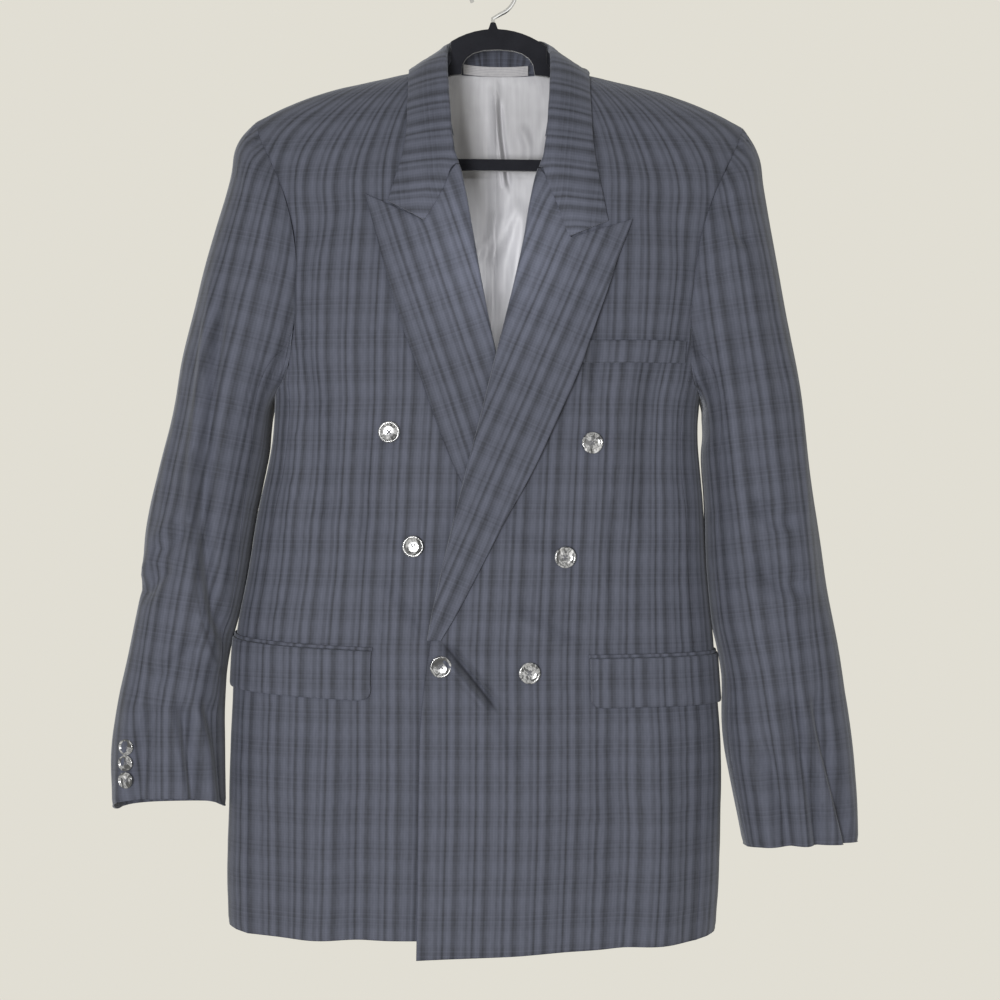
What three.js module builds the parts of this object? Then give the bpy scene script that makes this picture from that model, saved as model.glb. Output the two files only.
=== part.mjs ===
// A double breasted blazer hanging on a flat hanger.
// Millimetres, +Z up, -Y towards the front of the garment, +X towards the wearer's left side.
// The origin is the inside top of the hanger's hook, where a rod carries it.
import * as THREE from 'three';

// Driving dimensions
const SQUARENESS = 2.8; // exponent of the body's rounded section
const SHOULDER_ROUND = 110; // drop over which a shoulder rounds to its full depth
const CLOTH = 2.0;
const LAPEL_CLOTH = 2.4;
const COLLAR_CLOTH = 2.2;
const LINING = 1.0;
const HALF_SEAM = 0.15; // each edge stands back this far, so seams are 0.3 apart
const NECK_HALF = 62; // neck point of the shoulder seam, from the centre
const NECK_Z = -88;
const NECK_FOLD_RISE = 43; // rise of the ridge line from the neck point to the centre
const SHOULDER_HALF = 236; // top of the armhole, from the centre
const FRONT_HEM_Z = -925;
const HEM_DIP = 15; // the over front's hem dips this far towards its edge
const BACK_HEM_Z = -915;
const SIDE_SEAM_X = 0.902; // side seams, as a share of the half width
const OVERLAP_LIFT = 6.6; // the over front lies this far outside the under front
const ROLL = 3.2; // reach of a lapel's roll past the front edge
const ON_CLOTH = 0.8; // clearance below what lies on a panel
const TILT = 0.012; // the shoulders hang this much lower on the left side
const HEM_TILT = 0.014;
const HANG_SHIFT = -5.8; // of the garment and its hanger from the hook

// Shape tables
// The garment's middle line leans as it hangs.
const SWAY = [
  { z: -40, x: 11 },
  { z: -176, x: 12 },
  { z: -240, x: 10.5 },
  { z: -304, x: 8 },
  { z: -400, x: 2 },
  { z: -474, x: -3 },
  { z: -577, x: -9 },
  { z: -647, x: -12 },
  { z: -804, x: -11.5 },
  { z: -901, x: -13.5 },
  { z: -945, x: -15.5 },
];

// Half width and depths of the body's section. Above the armhole's foot the width is that of the
// full round, which the armhole then cuts.
const BODY = [
  { z: -40, half: 300, front: 44, back: 60 },
  { z: -100, half: 280, front: 45, back: 55 },
  { z: -149, half: 262, front: 50, back: 54 },
  { z: -176, half: 252, front: 53, back: 55 },
  { z: -207, half: 241, front: 57, back: 58 },
  { z: -240, half: 230, front: 60, back: 60 },
  { z: -276, half: 224, front: 62, back: 62 },
  { z: -304, half: 220, front: 64, back: 63 },
  { z: -340, half: 216, front: 65, back: 64 },
  { z: -372, half: 212, front: 66, back: 65 },
  { z: -400, half: 208, front: 66, back: 65 },
  { z: -415, half: 205, front: 66, back: 65 },
  { z: -474, half: 207, front: 65, back: 64 },
  { z: -517, half: 214.5, front: 64, back: 63 },
  { z: -577, half: 221, front: 62, back: 62 },
  { z: -647, half: 230, front: 61, back: 60 },
  { z: -735, half: 236, front: 60, back: 58 },
  { z: -804, half: 238, front: 59, back: 57 },
  { z: -901, half: 236.5, front: 58, back: 56 },
  { z: -945, half: 233.5, front: 58, back: 56 },
];

// Ridge of the shoulder, outwards from the neck point.
const RIDGE = [
  { x: 62, z: -88 },
  { x: 72, z: -95 },
  { x: 82, z: -99 },
  { x: 114, z: -106.5 },
  { x: 163, z: -118 },
  { x: 199, z: -131 },
  { x: 222, z: -141.5 },
  { x: 236, z: -149 },
  { x: 250, z: -160 },
];

// Armhole, as the distance of its front and back runs from the middle.
const ARMHOLE_FOOT_Z = -415;
const ARMHOLE = [
  { z: -149, front: 236, back: 236 },
  { z: -176, front: 225, back: 230 },
  { z: -207, front: 210, back: 220 },
  { z: -240, front: 197.5, back: 210 },
  { z: -276, front: 189.5, back: 202 },
  { z: -304, front: 187, back: 198 },
  { z: -340, front: 186.5, back: 195 },
  { z: -372, front: 188.5, back: 192 },
  { z: -385, front: 190, back: 190.5 },
  { z: -402, front: 195, back: 195 },
  { z: -411, front: 200.5, back: 200.5 },
  { z: -415, front: 205, back: 205 },
];

// Rows of the panels, as drops from the armhole's top along the armhole and the side seam.
const ARMHOLE_LEVELS = [-149, -150.5, -158, -172, -195, -230, -270, -310, -350, -385];
const SIDE_ROWS = 11; // rows from the armhole to the hem
const SHOULDER_COLUMNS = [62, 78, 100, 128, 158, 188, 214, 236];
const BACK_NECK_COLUMNS = [0, 22, 44];

// Neck edge and front edge of each front, measured from the middle line towards its own side.
const NECK_EDGE = [
  { z: -88, x: 62 },
  { z: -105, x: 57 },
  { z: -130, x: 52.5 },
  { z: -160, x: 47 },
  { z: -185, x: 42.5 },
];
const UNDER_ROLL = [
  { z: -200, x: 39 },
  { z: -217, x: 34.9 },
  { z: -261, x: 25.5 },
  { z: -317, x: 13.3 },
  { z: -387, x: -5 },
  { z: -437, x: -14 },
  { z: -503, x: -24 },
  { z: -604, x: -39 },
  { z: -655, x: -46 },
  { z: -700, x: -49 },
  { z: -940, x: -51 },
];
const OVER_ROLL = [
  { z: -203, x: 38 },
  { z: -217, x: 35 },
  { z: -265, x: 28.5 },
  { z: -322, x: 18.6 },
  { z: -393, x: 5.5 },
  { z: -437, x: -2.5 },
  { z: -503, x: -15.5 },
  { z: -604, x: -34 },
  { z: -633, x: -38.5 },
  { z: -657, x: -42 },
  { z: -699, x: -48 },
  { z: -753, x: -51 },
  { z: -836, x: -52 },
  { z: -940, x: -50 },
];

// Lapels: heights on the roll line and on the outer edge, and the edge's place.
const UNDER_LAPEL = [
  { roll: -200, edge: -228, x: 124 },
  { roll: -226, edge: -246, x: 118.5 },
  { roll: -261, edge: -268, x: 111.5 },
  { roll: -300, edge: -302, x: 101 },
  { roll: -341, edge: -341, x: 87.5 },
  { roll: -383, edge: -383, x: 69.5 },
  { roll: -425, edge: -425, x: 52 },
  { roll: -470, edge: -470, x: 32 },
  { roll: -512, edge: -512, x: 10.5 },
  { roll: -560, edge: -560, x: -11 },
  { roll: -605, edge: -605, x: -30 },
  { roll: -640, edge: -640, x: -41 },
];
const OVER_LAPEL = [
  { roll: -203, edge: -249, x: 126 },
  { roll: -235, edge: -265, x: 120.5 },
  { roll: -268, edge: -286, x: 113 },
  { roll: -304, edge: -312, x: 106 },
  { roll: -350, edge: -352, x: 94.5 },
  { roll: -393, edge: -393, x: 82.5 },
  { roll: -437, edge: -437, x: 66 },
  { roll: -487, edge: -487, x: 45.5 },
  { roll: -535, edge: -535, x: 22 },
  { roll: -583, edge: -583, x: 0 },
  { roll: -620, edge: -620, x: -17.5 },
  { roll: -642, edge: -642, x: -30 },
];
const LAPEL_COLUMNS = [0.03, 0.14, 0.33, 0.55, 0.78, 1];
const GORGE = 0.33; // share of the lapel's width where the collar seam turns into the gorge
const GORGE_FADE = 190; // length over which the dip of the lapel's top row runs out

// Collar, from the centre back to the front: the fold's crest, the leaf's edge and the neck seam.
// Rows without a fold height y follow the front's surface.
const COLLAR = [
  { foldX: 0, foldY: 46, foldZ: -52, edgeX: 0, edgeZ: -101, seamX: 0, seamZ: -88 },
  { foldX: 20, foldY: 43, foldZ: -53, edgeX: 33, edgeZ: -101, seamX: 22, seamZ: -88 },
  { foldX: 37, foldY: 32, foldZ: -57, edgeX: 58, edgeZ: -101, seamX: 44, seamZ: -88 },
  { foldX: 48, foldY: 2, foldZ: -72, edgeX: 86, edgeZ: -97, seamX: 62, seamZ: -88 },
  { foldX: 49, foldY: -19, foldZ: -86, edgeX: 86, edgeZ: -108, seamX: 59.2, seamZ: -97.7 },
  { foldX: 48.5, foldY: -33, foldZ: -104, edgeX: 86, edgeZ: -124, seamX: 55.6, seamZ: -112.7 },
  { foldX: 47, foldY: -47, foldZ: -130, edgeX: 86.5, edgeZ: -146, seamX: 51.1, seamZ: -137.5 },
  { foldX: 44.2, foldY: -57, foldZ: -168, edgeX: 88, edgeZ: -178, seamX: 45, seamZ: -172 },
];
const COLLAR_ROLL = 3.0; // outer radius of the leaf's turn at the fold
const STAND_ROLL = 2.5;
const LEAF_EDGE_GAP = 1.9; // between the leaf's lower edge and the shoulders
const RIM_RISE = 4.4; // height of the leaf's edge where it crosses the shoulder seam
const LEAF_BOW = 2.4; // the leaf swells this much between the fold and its edge
const RIM_BOW = -0.3; // the same over the shoulder seam, where it sags
const LEAF_SPRING = 0.9; // the leaf stands this much further off the chest
const STAND_SEAT = 0.6; // above the back's neck edge
const STAND_RIM_SEAT = 2; // the same over the shoulder seam
const STAND_GAP = 2.1; // between the stand and a front's neck edge
const LEAF_COLUMNS = [0, 0.22, 0.48, 0.75, 1];
// Ends of the leaf: the crest, the gorge corner and the collar's corner.
const LEAF_ENDS = {
  right: { rollX: 39.6, rollZ: -197, gorgeX: 70, gorgeZ: -251.5, cornerX: 102.5, cornerZ: -234.5 },
  left: { rollX: 39.8, rollZ: -200, gorgeX: 67.8, gorgeZ: -266.5, cornerX: 103, cornerZ: -251 },
};

// Sleeves: where each ring meets the inner and the outer outline.
const SLEEVE_RIGHT = [
  { inX: -207.2, inZ: -418.5, outX: -241, outZ: -168, y: 0, depth: 50, bow: 29 },
  { inX: -208, inZ: -422, outX: -248.5, outZ: -205, y: -1, depth: 53, bow: 21 },
  { inX: -208.4, inZ: -427, outX: -263, outZ: -255, y: -2, depth: 55, bow: 14 },
  { inX: -208.8, inZ: -434, outX: -277.5, outZ: -309, y: -3, depth: 56, bow: 8 },
  { inX: -209.6, inZ: -446, outX: -291, outZ: -365, y: -4, depth: 57, bow: 4 },
  { inX: -211, inZ: -466, outX: -300, outZ: -425, y: -5, depth: 57, bow: 1 },
  { inX: -216.8, inZ: -498, outX: -314.5, outZ: -482, y: -6, depth: 56, bow: 0 },
  { inX: -226.9, inZ: -545, outX: -326.5, outZ: -534, y: -8, depth: 54, bow: 0 },
  { inX: -235.7, inZ: -598, outX: -330, outZ: -590, y: -11, depth: 51, bow: 0 },
  { inX: -248.5, inZ: -655, outX: -340, outZ: -650, y: -15, depth: 47, bow: 0 },
  { inX: -251, inZ: -706, outX: -350, outZ: -705, y: -19, depth: 43, bow: 0 },
  { inX: -250.5, inZ: -752, outX: -356, outZ: -753, y: -22, depth: 40, bow: 0 },
  { inX: -249.5, inZ: -805, outX: -354.5, outZ: -807, y: -25, depth: 38, bow: 0 },
];
const SLEEVE_LEFT = [
  { inX: 209.3, inZ: -420, outX: 262, outZ: -178, y: 0, depth: 50, bow: 24 },
  { inX: 209.6, inZ: -424, outX: 268, outZ: -215, y: -1, depth: 53, bow: 17 },
  { inX: 209.8, inZ: -429.5, outX: 276, outZ: -262, y: -2, depth: 55, bow: 11 },
  { inX: 209.2, inZ: -436.5, outX: 285, outZ: -315, y: -3, depth: 56, bow: 6 },
  { inX: 209.3, inZ: -449, outX: 294.5, outZ: -370, y: -4, depth: 57, bow: 3 },
  { inX: 207.5, inZ: -470, outX: 304, outZ: -432, y: -5, depth: 57, bow: 0 },
  { inX: 209.6, inZ: -508, outX: 313.5, outZ: -497, y: -6, depth: 56, bow: 0 },
  { inX: 212, inZ: -560, outX: 321, outZ: -553, y: -8, depth: 54, bow: 0 },
  { inX: 216.4, inZ: -614, outX: 328, outZ: -610, y: -11, depth: 51, bow: 0 },
  { inX: 225.5, inZ: -673, outX: 338, outZ: -671, y: -15, depth: 47, bow: 0 },
  { inX: 226.5, inZ: -733, outX: 347.5, outZ: -732, y: -19, depth: 43, bow: 0 },
  { inX: 234, inZ: -784, outX: 350.5, outZ: -785, y: -22, depth: 40, bow: 0 },
  { inX: 244.5, inZ: -841, outX: 352, outZ: -836, y: -25, depth: 38, bow: 0 },
];
const BACK_BOW = 0.55; // the back run of the armhole bows in less than the front
const SLEEVE_SQUARENESS = 2.3;
const CUFF_SQUARENESS = 2.8; // also at the armhole
const CUFF_RISE = { right: 16, left: 5 }; // of a cuff's front edge
const SLEEVE_TWIST = 46; // degrees that the sleeve's seams turn outwards from armhole to cuff
const TOP_SLEEVE_START = 5; // first level of the back run that belongs to the top sleeve
const TOP_SLEEVE_END = 8; // last level of the front run that belongs to the top sleeve

// Largest soft folds of the fronts and the back, as ridges (+) and troughs (-).
const BODY_FOLDS = [
  { face: -1, x0: 75, z0: -380, x1: 62, z1: -620, width: 16, rise: -3 },
  { face: -1, x0: -150, z0: -420, x1: -152, z1: -640, width: 18, rise: -3 },
  { face: -1, x0: 165, z0: -240, x1: 120, z1: -560, width: 26, rise: 3 },
  { face: -1, x0: -170, z0: -260, x1: -165, z1: -560, width: 26, rise: 3 },
  { face: -1, x0: 150, z0: -760, x1: 158, z1: -940, width: 26, rise: 4 },
  { face: -1, x0: -110, z0: -740, x1: -128, z1: -940, width: 28, rise: 4 },
  { face: 1, x0: 150, z0: -380, x1: 95, z1: -640, width: 26, rise: -4 },
  { face: 1, x0: -150, z0: -360, x1: -100, z1: -620, width: 26, rise: -4 },
  { face: 1, x0: 120, z0: -660, x1: 140, z1: -930, width: 30, rise: 5 },
  { face: 1, x0: -125, z0: -680, x1: -135, z1: -930, width: 30, rise: 5 },
];
// Sleeve folds: place round the sleeve and share of its length at both ends.
const SLEEVE_FOLDS = [
  { turn0: 62, at0: 0.1, turn1: 48, at1: 0.85, width: 13, rise: -4 },
  { turn0: 100, at0: 0.2, turn1: 92, at1: 0.9, width: 15, rise: 3 },
  { turn0: 250, at0: 0.15, turn1: 262, at1: 0.7, width: 16, rise: -4 },
  { turn0: 300, at0: 0.3, turn1: 290, at1: 0.9, width: 15, rise: 3 },
];

// Pockets: inner end from the middle, heights of the pocket line at both ends.
const POCKETS = {
  right: { inner: 94, innerZ: -652.5, outerZ: -640 },
  left: { inner: 107, innerZ: -659.5, outerZ: -658 },
};
const FLAP_HEIGHT = 46;
const FLAP_LENGTH = 165;
const FLAP_CORNER = 6;
const FLAP_COLUMNS = [0, 0.008, 0.02, 0.037, 0.12, 0.25, 0.37, 0.5, 0.63, 0.75, 0.87, 1];
const FLAP_PAST_SIDE = 8; // degrees that a flap runs on behind the side
const JET_HEIGHT = 3.2;
const JET_OVERHANG = 0.6;
const WELT = { inner: 84, outer: 183, topZ: -364, height: 21, rise: 1.5 };

// Buttons
const BUTTON_SIDES = 18;
const FRONT_BUTTON_RADIUS = 10;
const SLEEVE_BUTTON_RADIUS = 7.5;
const BUTTON_SEAT = 0.7; // thread shank under a button
const FRONT_BUTTONS = [
  { x: -90, z: -449, on: 'under' },
  { x: -68, z: -555, on: 'under' },
  { x: -42, z: -666, on: 'over' },
  { x: 98, z: -459, on: 'over' },
  { x: 73, z: -565, on: 'over' },
  { x: 40, z: -672, on: 'over' },
];
const SLEEVE_BUTTONS = [0.906, 0.929, 0.952]; // shares of the sleeve's length
const SLEEVE_BUTTON_TURN = { right: 60, left: -42 }; // degrees forward of the sleeve's outermost line

// Lining, loop and hanger
const LINING_GAP = 0.5; // between lining and back at the neck
const LINING_FALL = 1.8; // and lower down, where it hangs free
const LINING_COLUMNS = [-7, -6, -5, -4, -3, -2, -1, -0.6, -0.35, -0.15, 0.1, 0.4, 1, 2, 3, 4, 5, 6, 7];
const LINING_ROWS = 12; // rows of the back panel that the lining covers
const LINING_PLEAT = { x: -3, width: 5, rise: 5 };
const LOOP = { half: 32, height: 9.5, z: -85.6, thickness: 1.2, middle: -3, bend: 1.12, gap: 1.85 };
const HANGER_THICKNESS = 5;
const HANGER_BAND = 12.5;
const HANGER_END = 212;
const HANGER_SEAT = 0.9; // below the inside of the shoulders at their ridge
const HANGER_BAR_TOP_Z = -182;
const HANGER_BAR_HEIGHT = 11;
const ARCH = { middle: -2.8, topZ: -55.8, radius: 81, half: 46.3, sideZ: -88 };
const ARCH_HOLE = { middle: -0.8, half: 35.5, footZ: -100, height: 24.5, squareness: 2.6 };
const NUB = { middle: -5.2, half: 4.6, topHalf: 2.4, topZ: -49.6 };
const HOOK_RADIUS = 22;
const HOOK_WIRE = 2;
const HOOK_SIDES = 8;

const COLOURS = {
  cloth: 0x5a5c68,
  lining: 0xb4b4ba,
  tape: 0xc4c3cc,
  button: 0x6c6e74,
  frame: 0x1c1d22,
  hook: 0xd0d2d6,
};

// Smooth reading of a table between its rows
function read(table, by, at, column) {
  const rising = table[table.length - 1][by] > table[0][by];
  const key = (row) => (rising ? row[by] : -row[by]);
  const want = rising ? at : -at;
  if (want <= key(table[0])) return table[0][column];
  const last = table.length - 1;
  if (want >= key(table[last])) return table[last][column];
  let i = 0;
  while (key(table[i + 1]) < want) i += 1;
  const slope = (a, b) => (table[b][column] - table[a][column]) / (key(table[b]) - key(table[a]));
  const here = slope(i, i + 1);
  const before = i > 0 ? slope(i - 1, i) : here;
  const after = i + 1 < last ? slope(i + 1, i + 2) : here;
  const start = before * here > 0 ? (2 * before * here) / (before + here) : 0;
  const end = after * here > 0 ? (2 * after * here) / (after + here) : 0;
  const span = key(table[i + 1]) - key(table[i]);
  const t = (want - key(table[i])) / span;
  const a = table[i][column];
  const b = table[i + 1][column];
  const t2 = t * t;
  const t3 = t2 * t;
  return (
    a * (2 * t3 - 3 * t2 + 1) + start * span * (t3 - 2 * t2 + t) +
    b * (3 * t2 - 2 * t3) + end * span * (t3 - t2)
  );
}

const mix = (a, b, t) => a + (b - a) * t;
const ease = (from, to, at) => THREE.MathUtils.smoothstep((at - from) / (to - from), 0, 1);
const power = (v, p) => Math.sign(v) * Math.abs(v) ** p;

// The garment's own frame is symmetric about x = 0; settle moves a point to where it hangs.
function settle(point) {
  const hold = 1 - ease(200, 420, -point.z);
  const shift = read(SWAY, 'z', point.z, 'x');
  const tilt = TILT * hold + HEM_TILT * ease(780, 925, -point.z);
  return new THREE.Vector3(point.x + shift, point.y, point.z - tilt * point.x);
}

// Inverse of settle for places measured on the hanging garment
function garmentX(x, z) {
  return x - read(SWAY, 'z', z, 'x');
}

function ridge(x) {
  const out = Math.abs(x);
  if (out >= NECK_HALF) return read(RIDGE, 'x', out, 'z');
  return NECK_Z + NECK_FOLD_RISE * (1 - (out / NECK_HALF) ** 2);
}

// Ridge as the straight runs between the panels' columns
function ridgeChord(x) {
  const i = Math.max(1, SHOULDER_COLUMNS.findIndex((column) => column >= x));
  const [a, b] = [SHOULDER_COLUMNS[i - 1], SHOULDER_COLUMNS[i]];
  return mix(ridge(a), ridge(b), (x - a) / (b - a));
}

function shoulderShare(x, z) {
  const drop = Math.max(0, ridge(x) - z);
  return drop >= SHOULDER_ROUND ? 1 : Math.sqrt(1 - (1 - drop / SHOULDER_ROUND) ** 2);
}

function foldRise(face, x, z) {
  let rise = 0;
  for (const fold of BODY_FOLDS) {
    if (fold.face !== face) continue;
    const dx = fold.x1 - fold.x0;
    const dz = fold.z1 - fold.z0;
    const t = THREE.MathUtils.clamp(((x - fold.x0) * dx + (z - fold.z0) * dz) / (dx * dx + dz * dz), 0, 1);
    const away = Math.hypot(x - fold.x0 - dx * t, z - fold.z0 - dz * t) / fold.width;
    const open = fold.z1 < BACK_HEM_Z ? ease(0, 0.6, t) : Math.sin(Math.PI * t);
    rise += fold.rise * open * Math.exp(-away * away);
  }
  return rise;
}

// Depth of the body's surface at x, z: the front is at -y, the back at +y
function bodyY(face, x, z, out = 0) {
  const across = Math.min(1, Math.abs(x) / read(BODY, 'z', z, 'half'));
  const deep = read(BODY, 'z', z, face < 0 ? 'front' : 'back');
  const round = (1 - across ** SQUARENESS) ** (1 / SQUARENESS);
  return face * (deep * round * shoulderShare(x, z) + (foldRise(face, x, z) * round) + out);
}

function onBody(face, x, z, out = 0) {
  return new THREE.Vector3(x, bodyY(face, x, z, out), z);
}

// Point on the body moved out square to its surface
function offBody(face, x, z, out) {
  const p = onBody(face, x, z);
  return p.addScaledVector(bodyNormal(p), out);
}

// Point at a turn round the section: 0 is the side, +90 the middle of the given face
function roundBody(side, face, turn, z, out = 0) {
  const half = read(BODY, 'z', z, 'half') + out;
  const across = power(Math.cos(turn), 2 / SQUARENESS);
  const x = side * half * across;
  const toFace = turn >= 0 ? face : -face;
  const deep = read(BODY, 'z', z, toFace < 0 ? 'front' : 'back') + out;
  const y = toFace * deep * power(Math.abs(Math.sin(turn)), 2 / SQUARENESS);
  const fold = foldRise(toFace, side * half * across, z) * Math.abs(Math.sin(turn));
  return new THREE.Vector3(x, y + toFace * fold, z);
}

// Outward direction of the body's surface
function bodyNormal(point) {
  const drop = ridge(point.x) - point.z;
  if (drop < 1) {
    const lean = ridge(point.x + 1) - ridge(point.x - 1);
    return new THREE.Vector3(-lean / 2, 0, 1).normalize();
  }
  const field = (x, y, z) => {
    const deep = read(BODY, 'z', z, y < 0 ? 'front' : 'back') * shoulderShare(x, z);
    return (Math.abs(x) / read(BODY, 'z', z, 'half')) ** SQUARENESS + (Math.abs(y) / deep) ** SQUARENESS;
  };
  const h = 0.2;
  const { x, y, z } = point;
  return new THREE.Vector3(
    field(x + h, y, z) - field(x - h, y, z),
    field(x, y + h, z) - field(x, y - h, z),
    field(x, y, z + h) - field(x, y, z - h),
  ).normalize();
}

// Direction out of the armhole's middle, which both walls of the armhole seam share
function armholeNormal(point) {
  const middle = (ARMHOLE[0].z + ARMHOLE_FOOT_Z) / 2;
  const half = (ARMHOLE[0].z - ARMHOLE_FOOT_Z) / 2;
  return new THREE.Vector3(0, point.y / 45 ** 2, (point.z - middle) / half ** 2).normalize();
}

// Normals of a grid from its own points
function gridNormals(grid) {
  const rows = grid.length;
  const columns = grid[0].length;
  return grid.map((row, r) =>
    row.map((_, c) => {
      const down = grid[Math.min(r + 1, rows - 1)][c].clone().sub(grid[Math.max(r - 1, 0)][c]);
      const along = grid[r][Math.min(c + 1, columns - 1)].clone().sub(grid[r][Math.max(c - 1, 0)]);
      return down.cross(along).normalize();
    }),
  );
}

// Edges of a grid drawn back from its seams, square to each edge
function trim(grid, edges) {
  const rows = grid.length;
  const columns = grid[0].length;
  const moves = [];
  const pull = (line, next, by) => {
    line.forEach((p, i) => {
      const along = line[Math.min(i + 1, line.length - 1)].clone().sub(line[Math.max(i - 1, 0)]).normalize();
      const inward = next[i].clone().sub(p);
      inward.addScaledVector(along, -inward.dot(along)).setLength(by);
      moves.push([p, inward]);
    });
  };
  if (edges.first) pull(grid.map((row) => row[0]), grid.map((row) => row[1]), edges.first);
  if (edges.last) {
    pull(grid.map((row) => row[columns - 1]), grid.map((row) => row[columns - 2]), edges.last);
  }
  if (edges.top) pull(grid[0], grid[1], edges.top);
  if (edges.foot) pull(grid[rows - 1], grid[rows - 2], edges.foot);
  moves.forEach(([p, inward]) => p.add(inward));
  return grid;
}

// Closed wall: an outer grid, an inner grid a thickness behind it, and the four edges
function clothWall(grid, normals, thickness) {
  const rows = grid.length;
  const columns = grid[0].length;
  const positions = [];
  const indices = [];
  for (const row of grid) for (const p of row) positions.push(p.x, p.y, p.z);
  grid.forEach((row, r) =>
    row.forEach((p, c) => {
      const inner = p.clone().addScaledVector(normals[r][c], -thickness);
      positions.push(inner.x, inner.y, inner.z);
    }),
  );
  const count = rows * columns;
  const outer = (r, c) => r * columns + c;
  const inner = (r, c) => count + r * columns + c;
  const quad = (a, b, c, d) => indices.push(a, b, c, a, c, d);
  for (let r = 0; r < rows - 1; r += 1) {
    for (let c = 0; c < columns - 1; c += 1) {
      quad(outer(r, c), outer(r + 1, c), outer(r + 1, c + 1), outer(r, c + 1));
      quad(inner(r, c), inner(r, c + 1), inner(r + 1, c + 1), inner(r + 1, c));
    }
    quad(outer(r, 0), inner(r, 0), inner(r + 1, 0), outer(r + 1, 0));
    const end = columns - 1;
    quad(outer(r, end), outer(r + 1, end), inner(r + 1, end), inner(r, end));
  }
  for (let c = 0; c < columns - 1; c += 1) {
    quad(outer(0, c), outer(0, c + 1), inner(0, c + 1), inner(0, c));
    const foot = rows - 1;
    quad(outer(foot, c), inner(foot, c), inner(foot, c + 1), outer(foot, c + 1));
  }
  const r = rows >> 1;
  const c = columns >> 1;
  const down = grid[rows > 2 ? r + 1 : r][c].clone().sub(grid[r - 1][c]);
  const along = grid[r][c].clone().sub(grid[r][c - 1]);
  const facing = down.cross(along).dot(normals[r][c]);
  if (facing < 0) {
    for (let i = 0; i < indices.length; i += 3) {
      [indices[i + 1], indices[i + 2]] = [indices[i + 2], indices[i + 1]];
    }
  }
  const geometry = new THREE.BufferGeometry();
  geometry.setAttribute('position', new THREE.Float32BufferAttribute(positions, 3));
  geometry.setIndex(indices);
  geometry.computeVertexNormals();
  return geometry;
}

const settled = (grid) => grid.map((row) => row.map(settle));

const FINISHES = {
  cloth: { color: COLOURS.cloth, roughness: 0.9, metalness: 0 },
  lining: { color: COLOURS.lining, roughness: 0.35, metalness: 0 },
  tape: { color: COLOURS.tape, roughness: 0.6, metalness: 0 },
  button: { color: COLOURS.button, roughness: 0.25, metalness: 0 },
  frame: { color: COLOURS.frame, roughness: 0.95, metalness: 0 },
  hook: { color: COLOURS.hook, roughness: 0.2, metalness: 1 },
};

const blazer = new THREE.Group();

function add(name, geometry, finish) {
  const mesh = new THREE.Mesh(geometry, new THREE.MeshStandardMaterial(FINISHES[finish]));
  mesh.name = name;
  blazer.add(mesh);
  return mesh;
}

// Body panels
const dropShare = (z) => (ARMHOLE[0].z - z) / (ARMHOLE[0].z - FRONT_HEM_Z);
const PANEL_ROWS = ARMHOLE_LEVELS.map(dropShare);
for (let i = 1; i <= SIDE_ROWS; i += 1) PANEL_ROWS.push(mix(PANEL_ROWS[9], 1, i / SIDE_ROWS));
const hemZ = (face) => (face < 0 ? FRONT_HEM_Z : BACK_HEM_Z);
const edgeLevel = (face, share) => mix(ARMHOLE[0].z, hemZ(face), share);

function outerEdge(face, share) {
  const z = edgeLevel(face, share);
  const armhole = z > ARMHOLE[8].z ? read(ARMHOLE, 'z', z, face < 0 ? 'front' : 'back') : 0;
  return { x: armhole || SIDE_SEAM_X * read(BODY, 'z', z, 'half'), z };
}

// Grid of x, z places between four edges, each edge a function of its share
function spread(top, foot, inner, outer, shares, rows) {
  return rows.map((t) =>
    shares.map((s) => {
      const a = inner(t);
      const b = outer(t);
      const c = top(s);
      const d = foot(s);
      const corner = (key) =>
        mix(mix(inner(0)[key], outer(0)[key], s), mix(inner(1)[key], outer(1)[key], s), t);
      return {
        x: mix(c.x, d.x, t) + mix(a.x, b.x, s) - corner('x'),
        z: mix(c.z, d.z, t) + mix(a.z, b.z, s) - corner('z'),
      };
    }),
  );
}

const ARMHOLE_ROWS = ARMHOLE_LEVELS.length;

function panelNormals(grid, outerColumn) {
  return grid.map((row, r) =>
    row.map((p, c) => {
      const seam = c === outerColumn && r < ARMHOLE_ROWS;
      if (r === 0 && !seam) return bodyNormal({ x: p.x, y: 0, z: ridge(p.x) });
      return seam ? armholeNormal(p) : bodyNormal(p);
    }),
  );
}

function overLift(x, z) {
  return OVERLAP_LIFT * (1 - ease(58, 112, x)) * ease(300, 372, -z);
}

function frontEdgeX(over, z) {
  const roll = over ? OVER_ROLL : UNDER_ROLL;
  return z > NECK_EDGE[NECK_EDGE.length - 1].z
    ? read(NECK_EDGE, 'z', z, 'x')
    : read([NECK_EDGE[NECK_EDGE.length - 1], ...roll], 'z', z, 'x');
}

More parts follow.
